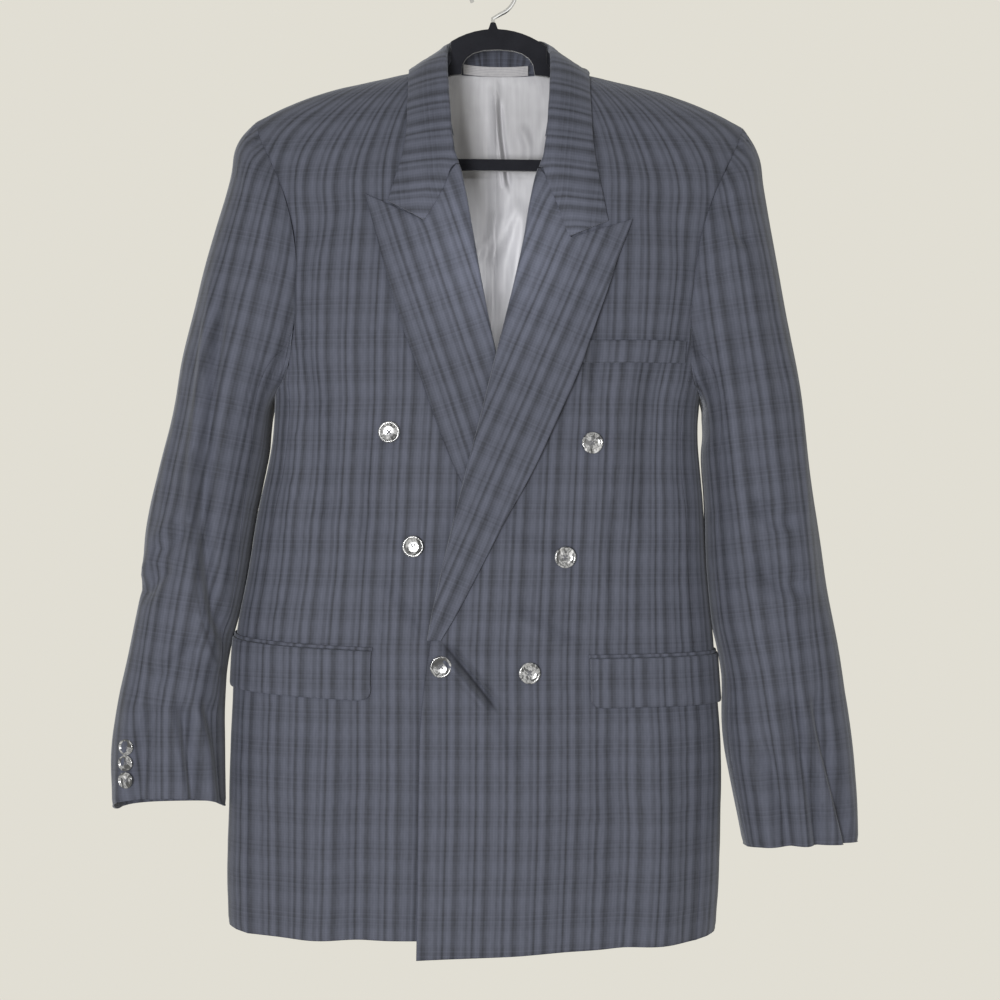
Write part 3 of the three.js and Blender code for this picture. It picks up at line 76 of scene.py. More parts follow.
# Sleeves: places down each one's middle, by the side of the garment
SLEEVE_HALF = (0.054, 0.050)
SLEEVE_AXES = {
    -1: ((-0.180, 0, -0.10), (-0.222, 0, -0.29), (-0.249, -0.004, -0.405), (-0.266, -0.006, -0.49),
         (-0.286, -0.011, -0.594), (-0.303, -0.019, -0.705), (-0.302, -0.025, -0.88)),
    1: ((0.205, 0, -0.10), (0.236, 0, -0.30), (0.252, -0.004, -0.41), (0.262, -0.006, -0.50),
        (0.275, -0.011, -0.612), (0.290, -0.019, -0.732), (0.302, -0.025, -0.90)),
}
ARMHOLE_X = 0.205

# Grain: where the front lies flat, and how the weft eases up to the shoulder (level and slope)
GRAIN_HALF = 0.228
GRAIN_STEPS = 60
FLAT_FRONT = 0.17
FLAT_EASE = 1.02
SHOULDER_LINE = (-0.215, -0.10)
SHOULDER_REACH = 0.11
SHOULDER_EASE = 0.02
SLEEVE_ROUND = 0.052
LAPEL_RUNS = {-1: (0.315, -0.949), 1: (-0.395, -0.919)}
COLLAR_MIDDLE = 0.0115
COLLAR_CREST = (
    (0, 0.046, -0.052), (0.020, 0.043, -0.053), (0.037, 0.032, -0.057), (0.048, 0.002, -0.072),
    (0.0485, -0.033, -0.104), (0.047, -0.047, -0.130), (0.044, -0.057, -0.168), (0.036, -0.062, -0.27),
)

# Shells: the angle that keeps an edge hard, and how far the outer rim is pressed in
SHARP_TURN = math.radians(58)
RIM_FACING = 0.6
EDGE_PRESS = 0.0008

# Creases: each pair is where they begin to show and over what reach
FACING_GAIN = 1.6
ARMHOLE_FADE = (0.006, 0.02)
SLEEVE_HEAD = (-0.20, 0.12)
COLLAR_FREE = (-0.10, 0.06)
LINING_FREE = (-0.10, 0.03)
WAVES = ((31, 17, 0.3), (-22, 29, 1.7), (47, -11, 2.9), (13, 53, 0.8), (61, 37, 4.1))
WAVE_HEIGHT = 0.0003

# Gaps that the shells close: the gorge's ends by side, and the sleeves beside the body
GORGES = {-1: ((-0.029, -0.1965), (-0.060, -0.2507)), 1: ((0.0504, -0.2005), (0.078, -0.2673))}
GORGE_REACH = 0.011
GORGE_Y = -0.02
LEAF_CLOSING = 0.0030
LAPEL_CLOSING = 0.0020
LEAF_PRESS = 0.0013
ARM_CLOSING = 0.0022
ARM_CLOSING_SPAN = (-0.68, -0.52)

# Plaid
WARP_REPEAT = 0.0278
WEFT_REPEAT = 0.0318
TWILL_PITCH = 0.0011
PIN_PITCH = 0.0023
BAR_PITCH = 0.0027
TAPE_RIB = 0.0016

# Buttons: shares of the radius and of the thickness
BUTTON_PROFILE = (
    (0.0, -0.5), (0.72, -0.5), (0.95, -0.25), (1.0, 0.05), (0.99, 0.30), (0.94, 0.46), (0.88, 0.50),
    (0.81, 0.44), (0.74, 0.24), (0.66, 0.14), (0.45, 0.08), (0.0, 0.06),
)
HOLE_FACE = 0.075
THREAD_RAISE = 0.05
THREAD_RADIUS = 0.022
THREAD_SPACING = 0.035

# Lights
CHEST = (0, 0, -0.45)
NECK_OPENING = (0.002, 0.05, -0.285)


def smooth(share: np.ndarray) -> np.ndarray:
    """Eases a share of 0 to 1 at both of its ends."""
    return share * share * (3 - 2 * share)


def ramped(value: np.ndarray, start: float, reach: float) -> np.ndarray:
    """Share of 0 to 1 by how far each value is below a start."""
    return np.clip((start - value) / reach, 0, 1)


class Face(Enum):
    """Side of the garment that a crease lies on."""

    FRONT = -1
    BACK = 1


class Grain(Enum):
    """How the plaid runs over a piece."""

    BODY = "body"
    SLEEVE = "sleeve"
    LAPEL = "lapel"
    COLLAR = "collar"


@dataclass(frozen=True)
class Crease:
    """A soft ridge or trough along a path of x, z places on one face."""

    path: tuple
    width: float
    rise: float
    face: Face = Face.FRONT
    to_edge: bool = False
    paired: float = 0.0

    def height(self, x: np.ndarray, z: np.ndarray) -> np.ndarray:
        """Works out the crease's height.

        Args:
            x: Places across.
            z: Places up.

        Returns:
            Height of the crease at each place.
        """
        points = np.array(self.path, float)
        steps = np.diff(points, axis=0)
        lengths = np.hypot(steps[:, 0], steps[:, 1])
        total = lengths.sum()
        best = np.full(len(x), 1e9)
        share = np.zeros(len(x))
        side = np.zeros(len(x))
        start = 0.0
        for (ax, az), (dx, dz), length in zip(points[:-1], steps, lengths):
            t = np.clip(((x - ax) * dx + (z - az) * dz) / length**2, 0, 1)
            off_x = x - ax - dx * t
            off_z = z - az - dz * t
            away = np.hypot(off_x, off_z)
            near = away < best
            best = np.where(near, away, best)
            share = np.where(near, (start + t * length) / total, share)
            side = np.where(near, np.sign(off_x * dz - off_z * dx), side)
            start += length
        fade = np.clip(share / 0.25, 0, 1)
        if not self.to_edge:
            fade = fade * np.clip((1 - share) / 0.25, 0, 1)
        signed = best * side
        shape = np.exp(-((signed / self.width) ** 2))
        shape -= self.paired * np.exp(-(((signed - 1.7 * self.width) / self.width) ** 2))
        return self.rise * smooth(fade) * shape


BODY_CREASES = (
    Crease(((-0.043, -0.642), (-0.020, -0.668), (0.013, -0.709)), 0.0048, -0.0095, paired=0.55),
    Crease(((-0.032, -0.636), (-0.008, -0.660), (0.027, -0.702)), 0.014, 0.0035),
    Crease(((0.009, -0.703), (0.027, -0.736), (0.038, -0.767)), 0.009, -0.0035, paired=0.4),
    Crease(
        ((0.108, -0.392), (0.117, -0.425), (0.115, -0.47), (0.116, -0.56), (0.119, -0.63)), 0.0042, -0.0034,
    ),
    Crease(((-0.112, -0.43), (-0.112, -0.54), (-0.116, -0.62)), 0.0042, -0.0030),
    Crease(((0.099, -0.359), (0.099, -0.393), (0.102, -0.415)), 0.006, -0.0045, paired=0.5),
    Crease(((0.150, -0.70), (0.160, -0.80), (0.166, -0.93)), 0.024, 0.006, to_edge=True),
    Crease(((0.120, -0.71), (0.126, -0.80), (0.128, -0.93)), 0.020, -0.005, to_edge=True),
    Crease(((-0.150, -0.71), (-0.156, -0.82), (-0.163, -0.93)), 0.024, 0.006, to_edge=True),
    Crease(((-0.110, -0.71), (-0.116, -0.82), (-0.120, -0.93)), 0.020, -0.004, to_edge=True),
    Crease(((-0.175, -0.36), (-0.160, -0.45), (-0.158, -0.56)), 0.016, -0.006, paired=0.4),
    Crease(((0.165, -0.36), (0.150, -0.45), (0.150, -0.56)), 0.016, -0.006, paired=0.4),
    Crease(((-0.08, -0.15), (-0.14, -0.20), (-0.175, -0.29)), 0.020, -0.004),
    Crease(((0.11, -0.15), (0.165, -0.20), (0.185, -0.29)), 0.020, -0.004),
    Crease(((0.02, -0.60), (0.07, -0.63), (0.10, -0.64)), 0.009, -0.0035, paired=0.5),
    Crease(((-0.10, -0.57), (-0.07, -0.61), (-0.05, -0.64)), 0.009, -0.0035, paired=0.5),
    Crease(((0.00, -0.52), (0.05, -0.545), (0.09, -0.555)), 0.012, -0.003, paired=0.4),
    Crease(((-0.15, -0.50), (-0.11, -0.53), (-0.07, -0.545)), 0.012, -0.003, paired=0.4),
    Crease(((0.16, -0.33), (0.10, -0.52), (0.06, -0.72)), 0.022, -0.005, Face.BACK),
    Crease(((-0.15, -0.33), (-0.11, -0.52), (-0.08, -0.72)), 0.024, -0.005, Face.BACK),
    Crease(((0.10, -0.70), (0.12, -0.93)), 0.028, 0.006, Face.BACK, to_edge=True),
    Crease(((-0.13, -0.70), (-0.15, -0.93)), 0.028, 0.006, Face.BACK, to_edge=True),
    Crease(((0.05, -0.12), (0.13, -0.19), (0.18, -0.30)), 0.018, -0.0045, Face.BACK),
    Crease(((-0.03, -0.12), (-0.10, -0.19), (-0.16, -0.30)), 0.020, -0.0045, Face.BACK),
    Crease(((-0.08, -0.46), (-0.02, -0.485), (0.06, -0.475)), 0.012, -0.003, Face.BACK, paired=0.4),
)


def cuff_fold(path: tuple, width: float, paired: float) -> Crease:
    """Fold that runs down to a cuff's edge."""
    return Crease(path, width, -0.0070, paired=paired, to_edge=True)


SLEEVE_CREASES = {
    -1: (
        Crease(
            ((-0.243, -0.707), (-0.252, -0.668), (-0.265, -0.623), (-0.271, -0.570), (-0.275, -0.531),
             (-0.271, -0.463), (-0.266, -0.408), (-0.259, -0.330), (-0.248, -0.265)),
            0.0065, 0.0055, paired=1.5,
        ),
        Crease(((-0.314, -0.353), (-0.323, -0.419), (-0.334, -0.493), (-0.344, -0.568)), 0.014, -0.0065),
        Crease(((-0.291, -0.568), (-0.314, -0.591), (-0.334, -0.605)), 0.009, -0.0060, paired=0.5),
        Crease(((-0.267, -0.531), (-0.295, -0.554), (-0.314, -0.568)), 0.008, -0.0055, paired=0.5),
        Crease(((-0.267, -0.643), (-0.293, -0.669), (-0.314, -0.680)), 0.008, -0.0055, paired=0.5),
        cuff_fold(((-0.284, -0.689), (-0.277, -0.742), (-0.269, -0.792)), 0.0065, 0.5),
        cuff_fold(((-0.262, -0.689), (-0.251, -0.742), (-0.245, -0.792)), 0.0065, 0.5),
        cuff_fold(((-0.310, -0.689), (-0.318, -0.734), (-0.327, -0.792)), 0.009, 0.4),
        Crease(((-0.262, -0.42), (-0.285, -0.54), (-0.30, -0.66)), 0.018, -0.006, Face.BACK),
        Crease(((-0.225, -0.30), (-0.24, -0.42)), 0.016, -0.005, Face.BACK),
    ),
    1: (
        Crease(
            ((0.216, -0.223), (0.226, -0.233), (0.237, -0.261), (0.250, -0.279)), 0.007, -0.0055, paired=0.5,
        ),
        Crease(
            ((0.232, -0.297), (0.238, -0.363), (0.244, -0.437), (0.255, -0.531), (0.270, -0.643)),
            0.012, -0.006, paired=0.3,
        ),
        Crease(
            ((0.304, -0.643), (0.298, -0.549), (0.293, -0.456), (0.283, -0.353)), 0.012, 0.003, paired=1.2,
        ),
        Crease(((0.241, -0.568), (0.269, -0.587), (0.306, -0.596)), 0.009, -0.0060, paired=0.5),
        Crease(((0.246, -0.512), (0.269, -0.531), (0.293, -0.534)), 0.008, -0.0055, paired=0.5),
        cuff_fold(((0.279, -0.675), (0.290, -0.734), (0.302, -0.781), (0.310, -0.839)), 0.0065, 0.5),
        cuff_fold(((0.303, -0.675), (0.314, -0.734), (0.325, -0.778), (0.341, -0.839)), 0.0065, 0.5),
        cuff_fold(((0.251, -0.731), (0.267, -0.773), (0.281, -0.839)), 0.008, 0.4),
        Crease(((0.262, -0.42), (0.28, -0.54), (0.30, -0.68)), 0.018, -0.006, Face.BACK),
        Crease(((0.225, -0.30), (0.24, -0.42)), 0.016, -0.005, Face.BACK),
    ),
}

LINING_CREASES = (
    Crease(((0.012, -0.107), (0.015, -0.149), (0.021, -0.194)), 0.0026, 0.004, to_edge=True, paired=1.0),
    Crease(((0.033, -0.135), (0.041, -0.160), (0.040, -0.190)), 0.005, -0.004),
    Crease(((0.029, -0.205), (0.027, -0.222), (0.016, -0.250), (-0.003, -0.285)), 0.006, -0.005),
    Crease(((0.033, -0.203), (0.035, -0.235), (0.026, -0.298), (0.016, -0.35)), 0.006, -0.005),
    Crease(((0.012, -0.215), (0.006, -0.245), (-0.014, -0.275)), 0.006, -0.004),
    Crease(((0.006, -0.295), (0.011, -0.335), (0.008, -0.38)), 0.010, -0.004),
    Crease(((-0.018, -0.115), (-0.014, -0.16), (-0.012, -0.20)), 0.009, -0.003),
    Crease(((-0.03, -0.215), (-0.012, -0.26), (-0.004, -0.31)), 0.009, -0.004),
    Crease(((0.058, -0.12), (0.052, -0.16), (0.046, -0.20)), 0.007, -0.003),
)
LINING_EASE = -0.004


@dataclass(frozen=True)
class PaintedCreaseShade:
    """Painted shade along a tight crease from one x, z place to another, a crease too narrow for the mesh;
    shade is how dark it is painted.
    """

    start: tuple
    end: tuple
    width: float
    shade: float


# Painted shade on the wool along tight creases: start, end, width and how dark the shade is painted.
PAINTED_CREASE_SHADES = (
    PaintedCreaseShade((-0.0479, -0.6427), (0.0040, -0.7076), 0.0019, 0.75),
    PaintedCreaseShade((0.0921, -0.3600), (0.0930, -0.3896), 0.0030, 0.35),
    PaintedCreaseShade((-0.2768, -0.4626), (-0.2806, -0.5307), 0.0022, 0.40),
    PaintedCreaseShade((-0.2806, -0.5307), (-0.2768, -0.5698), 0.0022, 0.40),
    PaintedCreaseShade((-0.2768, -0.5698), (-0.2703, -0.6230), 0.0022, 0.45),
    PaintedCreaseShade((-0.2703, -0.6230), (-0.2582, -0.6678), 0.0024, 0.50),
    PaintedCreaseShade((-0.2582, -0.6678), (-0.2479, -0.7098), 0.0026, 0.50),
)


def read(table: tuple, z: np.ndarray) -> np.ndarray:
    """Reads a table of z, value rows at each z."""
    rows = np.array(table, float)
    return np.interp(z, rows[:, 0], rows[:, 1])


def follow(path: tuple, points: np.ndarray) -> tuple:
    """Finds the nearest places on a path.

    Args:
        path: Places of the path in order.
        points: Places to measure from.

    Returns:
        Distance along the path, the nearest place and the path's direction there.
    """
    line = np.array(path, float)
    best = np.full(len(points), 1e9)
    along = np.zeros(len(points))
    near = np.zeros_like(points)
    heading = np.zeros_like(points)
    start = 0.0
    for a, b in zip(line[:-1], line[1:]):
        step = b - a
        length = np.linalg.norm(step)
        t = np.clip((points - a) @ step / length**2, 0, 1)
        place = a + t[:, None] * step
        away = np.linalg.norm(points - place, axis=1)
        closer = away < best
        best = np.where(closer, away, best)
        along = np.where(closer, start + t * length, along)
        near = np.where(closer[:, None], place, near)
        heading = np.where(closer[:, None], step / length, heading)
        start += length
    return along, near, heading


def unit(vectors: np.ndarray) -> np.ndarray:
    """Vectors of length one."""
    return vectors / np.maximum(np.linalg.norm(vectors, axis=-1, keepdims=True), 1e-12)


def added(name: str, data: bpy.types.ID) -> bpy.types.Object:
    """Adds an object to the scene."""
    obj = bpy.data.objects.new(name, data)
    bpy.context.scene.collection.objects.link(obj)
    return obj


def body_outward(points: np.ndarray) -> np.ndarray:
    """Outward directions of the body's section at each point."""
    x = (points[:, 0] - read(MIDDLE_LINE, points[:, 2])) / read(SECTION_HALF, points[:, 2])
    y = points[:, 1] / SECTION_DEPTH
    power = SECTION_SQUARENESS - 1
    out_x = np.sign(x) * np.abs(x) ** power / OUTWARD_HALF
    out_y = np.sign(y) * np.maximum(np.abs(y), OUTWARD_LEAST) ** power / SECTION_DEPTH
    return unit(np.stack([out_x, out_y, np.zeros(len(x))], axis=1))


def sleeve_outward(points: np.ndarray, side: int) -> np.ndarray:
    """Outward directions of a sleeve at each point."""
    _, near, heading = follow(SLEEVE_AXES[side], points)
    off = points - near
    return unit(off - np.sum(off * heading, axis=1, keepdims=True) * heading)


def unevenness(points: np.ndarray) -> np.ndarray:
    """Slight waviness of cloth that hangs, in metres."""
    x, _, z = points.T
    return sum(np.sin(a * x + b * z + phase) for a, b, phase in WAVES) * WAVE_HEIGHT


def creased(lift: np.ndarray, creases: tuple, points: np.ndarray, outward: np.ndarray) -> np.ndarray:
    """Adds creases to a lift.

    Args:
        lift: Height of the cloth at each point.
        creases: Creases, each on one face of the garment.
        points: Points of the cloth.
        outward: Outward direction at each point.

    Returns:
        Height with the creases of the face that each point looks to.
    """
    for crease in creases:
        facing = np.clip(outward[:, 1] * crease.face.value * FACING_GAIN, 0, 1)
        lift = lift + facing * crease.height(points[:, 0], points[:, 2])
    return lift


def body_lift(points: np.ndarray) -> np.ndarray:
    """Displacement of what lies on the body, from its creases."""
    outward = body_outward(points)
    return outward * creased(unevenness(points), BODY_CREASES, points, outward)[:, None]


def sleeve_lift(points: np.ndarray, side: int) -> np.ndarray:
    """Displacement of a sleeve's cloth from its creases, none at the armhole's seam."""
    outward = sleeve_outward(points, side)
    z = points[:, 2]
    lift = creased(unevenness(points) * ramped(z, *SLEEVE_HEAD), SLEEVE_CREASES[side], points, outward)
    edge, reach = ARMHOLE_FADE
    clear = np.clip((np.abs(points[:, 0] - side * ARMHOLE_X) - edge) / reach, 0, 1)
    moved = outward * (lift * clear)[:, None]
    low, high = ARM_CLOSING_SPAN
    beside = ramped(z, high, 0.05) * np.clip((z - low) / 0.05, 0, 1)
    moved[:, 0] -= side * ARM_CLOSING * beside * np.clip(-side * outward[:, 0], 0, 1)
    return moved


def gorge_closing(points: np.ndarray, leaf: bool) -> np.ndarray:
    """Moves the collar leaf and the lapel together along their sewn seam.

    Args:
        points: Points of the collar leaf or of a lapel.
        leaf: True for the collar leaf.

    Returns:
        Displacement of each point.
    """
    moved = np.zeros_like(points)
    for side, (top, low) in GORGES.items():
        start, end = np.array(top), np.array(low)
        step = end - start
        flat = points[:, [0, 2]]
        t = np.clip((flat - start) @ step / (step @ step), 0, 1)
        away = np.linalg.norm(flat - start - t[:, None] * step, axis=1)
        share = smooth(np.clip(1 - away / GORGE_REACH, 0, 1) * (points[:, 1] < GORGE_Y))
        heading = step / np.linalg.norm(step)
        across = np.array([-side * abs(heading[1]), 0, -abs(heading[0])])
        if leaf:
            moved += share[:, None] * (across * LEAF_CLOSING + np.array([0, LEAF_PRESS, 0]))
        else:
            moved -= share[:, None] * across * LAPEL_CLOSING
    return moved


@dataclass
class Shell:
    """Triangles with a normal at each corner, which divide into smooth smaller ones."""

    points: np.ndarray
    faces: np.ndarray
    normals: np.ndarray
    sharp: np.ndarray

    @classmethod
    def from_node(cls, node: str) -> "Shell":
        """Reads a node's solid.

        Args:
            node: Name of the CAD node.

        Returns:
            The node's triangles with smooth normals away from its sharp edges.
        """
        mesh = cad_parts[node].data
        mesh.calc_loop_triangles()
        points = np.array([v.co for v in mesh.vertices], float)
        _, first, same = np.unique(np.round(points, 6), axis=0, return_index=True, return_inverse=True)
        points = points[first]
        faces = same.reshape(-1)[np.array([t.vertices for t in mesh.loop_triangles])]
        a, b, c = (points[faces[:, k]] for k in range(3))
        cross = np.cross(b - a, c - a)
        keep = np.linalg.norm(cross, axis=1) > 1e-14
        faces = faces[keep]
        cross = cross[keep]
        flat = unit(cross)
        parent = list(range(len(faces) * 3))

        def root(i: int) -> int:
            """Group that a corner belongs to."""
            while parent[i] != i:
                parent[i] = parent[parent[i]]
                i = parent[i]
            return i

        edges = {}
        sharp = np.ones((len(faces), 3), bool)
        for f, corners in enumerate(faces):
            for k in range(3):
                pair = (corners[k], corners[(k + 1) % 3])
                edges.setdefault(frozenset(pair), []).append((f, k, pair))
        for users in edges.values():
            if len(users) != 2:
                continue
            (f, k, (start, _)), (g, m, (other, _)) = users
            if math.acos(np.clip(flat[f] @ flat[g], -1, 1)) > SHARP_TURN:
                continue
            sharp[f, k] = sharp[g, m] = False
            end_f, end_g = (k + 1) % 3, (m + 1) % 3
            start_g, last_g = (m, end_g) if other == start else (end_g, m)
            parent[root(f * 3 + k)] = root(g * 3 + start_g)
            parent[root(f * 3 + end_f)] = root(g * 3 + last_g)
        groups = np.array([root(i) for i in range(len(parent))])
        corner = points[faces]
        ahead = unit(np.roll(corner, -1, axis=1) - corner)
        behind = unit(np.roll(corner, 1, axis=1) - corner)
        angle = np.arccos(np.clip(np.sum(ahead * behind, axis=2), -1, 1))
        weighted = (angle[:, :, None] * flat[:, None, :]).reshape(-1, 3)
        sums = np.zeros_like(weighted)
        np.add.at(sums, groups, weighted)
        return cls(points, faces, unit(sums[groups]).reshape(-1, 3, 3), sharp)

    def divided(self) -> "Shell":
        """The same surface with each triangle cut into four, rounded between its corners."""
        faces = self.faces
        ends = np.stack([faces, np.roll(faces, -1, axis=1)], axis=2).reshape(-1, 2)
        key = np.sort(ends, axis=1)
        numbers = key[:, 0] * len(self.points) + key[:, 1]
        _, first, edge = np.unique(numbers, return_index=True, return_inverse=True)
        edge = edge.reshape(-1)
        a = self.points[ends[:, 0]]
        b = self.points[ends[:, 1]]
        na = self.normals.reshape(-1, 3)
        nb = np.roll(self.normals, -1, axis=1).reshape(-1, 3)
        step = b - a
        bulge = -(np.sum(step * na, axis=1)[:, None] * na - np.sum(step * nb, axis=1)[:, None] * nb) / 8
        weight = np.where(self.sharp.reshape(-1), 1.0, 0.5)
        moved = np.zeros((len(first), 3))
        np.add.at(moved, edge, bulge * weight[:, None])
        middle = (self.points[key[first, 0]] + self.points[key[first, 1]]) / 2 + moved
        bend = 2 * np.sum(step * (na + nb), axis=1) / np.maximum(np.sum(step * step, axis=1), 1e-14)
        half = unit(na + nb - bend[:, None] * step).reshape(-1, 3, 3)
        mids = (edge + len(self.points)).reshape(-1, 3)
        corners = self.normals
        new_faces = [np.stack([faces[:, k], mids[:, k], mids[:, k - 1]], axis=1) for k in range(3)]
        new_normals = [np.stack([corners[:, k], half[:, k], half[:, k - 1]], axis=1) for k in range(3)]
        inside = np.zeros(len(faces), bool)
        hard = self.sharp
        new_sharp = [np.stack([hard[:, k], inside, hard[:, k - 1]], axis=1) for k in range(3)]
        new_faces.append(mids)
        new_normals.append(half)
        new_sharp.append(np.zeros_like(hard))
        return Shell(
            np.concatenate([self.points, middle]),
            np.concatenate(new_faces),
            np.concatenate(new_normals),
            np.concatenate(new_sharp),
        )

    def outer_rim(self, outward: np.ndarray) -> np.ndarray:
        """Marks the points on the outer face's edges.

        Args:
            outward: Outward direction at each point.

        Returns:
            True for each point on a sharp edge of a face that looks outward.
        """
        marks = np.zeros(len(self.points), bool)
        for k in range(3):
            ends = self.faces[:, [k, (k + 1) % 3]]
            facing = np.sum(self.normals[:, k] * outward[self.faces[:, k]], axis=1) > RIM_FACING
            marks[ends[self.sharp[:, k] & facing].reshape(-1)] = True
        return marks

    def to_object(self, name: str) -> bpy.types.Object:
        """Makes a Blender object of the shell."""
        mesh = bpy.data.meshes.new(name)
        mesh.vertices.add(len(self.points))
        mesh.vertices.foreach_set("co", self.points.reshape(-1))
        mesh.loops.add(self.faces.size)
        mesh.loops.foreach_set("vertex_index", self.faces.reshape(-1))
        mesh.polygons.add(len(self.faces))
        mesh.polygons.foreach_set("loop_start", np.arange(0, self.faces.size, 3))
        mesh.update(calc_edges=True)
        mesh.shade_smooth()
        ends = np.empty(len(mesh.edges) * 2, int)
        mesh.edges.foreach_get("vertices", ends)
        ends = np.sort(ends.reshape(-1, 2), axis=1)
        rolled = np.roll(self.faces, -1, axis=1)
        pairs = np.sort(np.stack([self.faces[self.sharp], rolled[self.sharp]], axis=1), axis=1)
        size = len(self.points)
        hard = np.isin(ends[:, 0] * size + ends[:, 1], pairs[:, 0] * size + pairs[:, 1])
        mesh.attributes.new("sharp_edge", "BOOLEAN", "EDGE").data.foreach_set("value", hard)
        return added(name, mesh)


# Grain of each cut
def section_turns() -> tuple:
    """Arc lengths round a quarter of the body's section, by turn from the front's middle."""
    turns = np.linspace(0, math.pi / 2, GRAIN_STEPS)
    x = GRAIN_HALF * np.sin(turns) ** (2 / SECTION_SQUARENESS)
    y = SECTION_DEPTH * np.cos(turns) ** (2 / SECTION_SQUARENESS)
    lengths = np.concatenate([[0], np.cumsum(np.hypot(np.diff(x), np.diff(y)))])
    return turns, lengths


def body_grain(points: np.ndarray) -> np.ndarray:
    """Warp and weft places of the body's panels and of what is cut to match them."""
    x = points[:, 0] - read(MIDDLE_LINE, points[:, 2])
    half = read(SECTION_HALF, points[:, 2])
    power = SECTION_SQUARENESS / 2
    turn = np.arctan2(np.abs(x / half) ** power, np.abs(points[:, 1] / SECTION_DEPTH) ** power + 1e-6)
    turns, lengths = section_turns()
    arc = np.interp(turn, turns, lengths)
    quarter = lengths[-1]
    across = np.where(points[:, 1] < 0, arc, 2 * quarter - arc) * np.sign(x)
    flat = np.clip(1 - np.abs(x) / FLAT_FRONT, 0, 1) * (points[:, 1] < 0)
    across = across * (1 - flat) + x * FLAT_EASE * flat
    level, slope = SHOULDER_LINE
    rise = np.clip((points[:, 2] - level - slope * np.abs(x)) / SHOULDER_REACH, 0, 1)
    up = points[:, 2] + SHOULDER_EASE * rise**3
    return np.stack([across, up], axis=1)


def sleeve_grain(points: np.ndarray, side: int) -> np.ndarray:
    """Warp and weft places of a sleeve."""
    along, near, heading = follow(SLEEVE_AXES[side], points)
    off = points - near
    across = np.stack([-heading[:, 2], np.zeros(len(points)), heading[:, 0]], axis=1)
    turn = np.arctan2(off[:, 1] / SLEEVE_HALF[1], np.sum(off * across, axis=1) / SLEEVE_HALF[0])
    return np.stack([turn * SLEEVE_ROUND, -along], axis=1)


def lapel_grain(points: np.ndarray, side: int) -> np.ndarray:
    """Warp and weft places of a lapel, whose warp runs along its outer edge."""
    down = np.array(LAPEL_RUNS[side])
    flat = points[:, [0, 2]]
    return np.stack([flat @ np.array([-down[1], down[0]]), flat @ -down], axis=1)


def collar_grain(points: np.ndarray) -> np.ndarray:
    """Warp and weft places of the collar, whose warp runs across it."""
    centred = points - np.array([COLLAR_MIDDLE, 0, 0])
    side = np.sign(centred[:, 0])
    centred[:, 0] = np.abs(centred[:, 0])
    along, near, _ = follow(COLLAR_CREST, centred)
    return np.stack([along * side, np.linalg.norm(centred - near, axis=1)], axis=1)


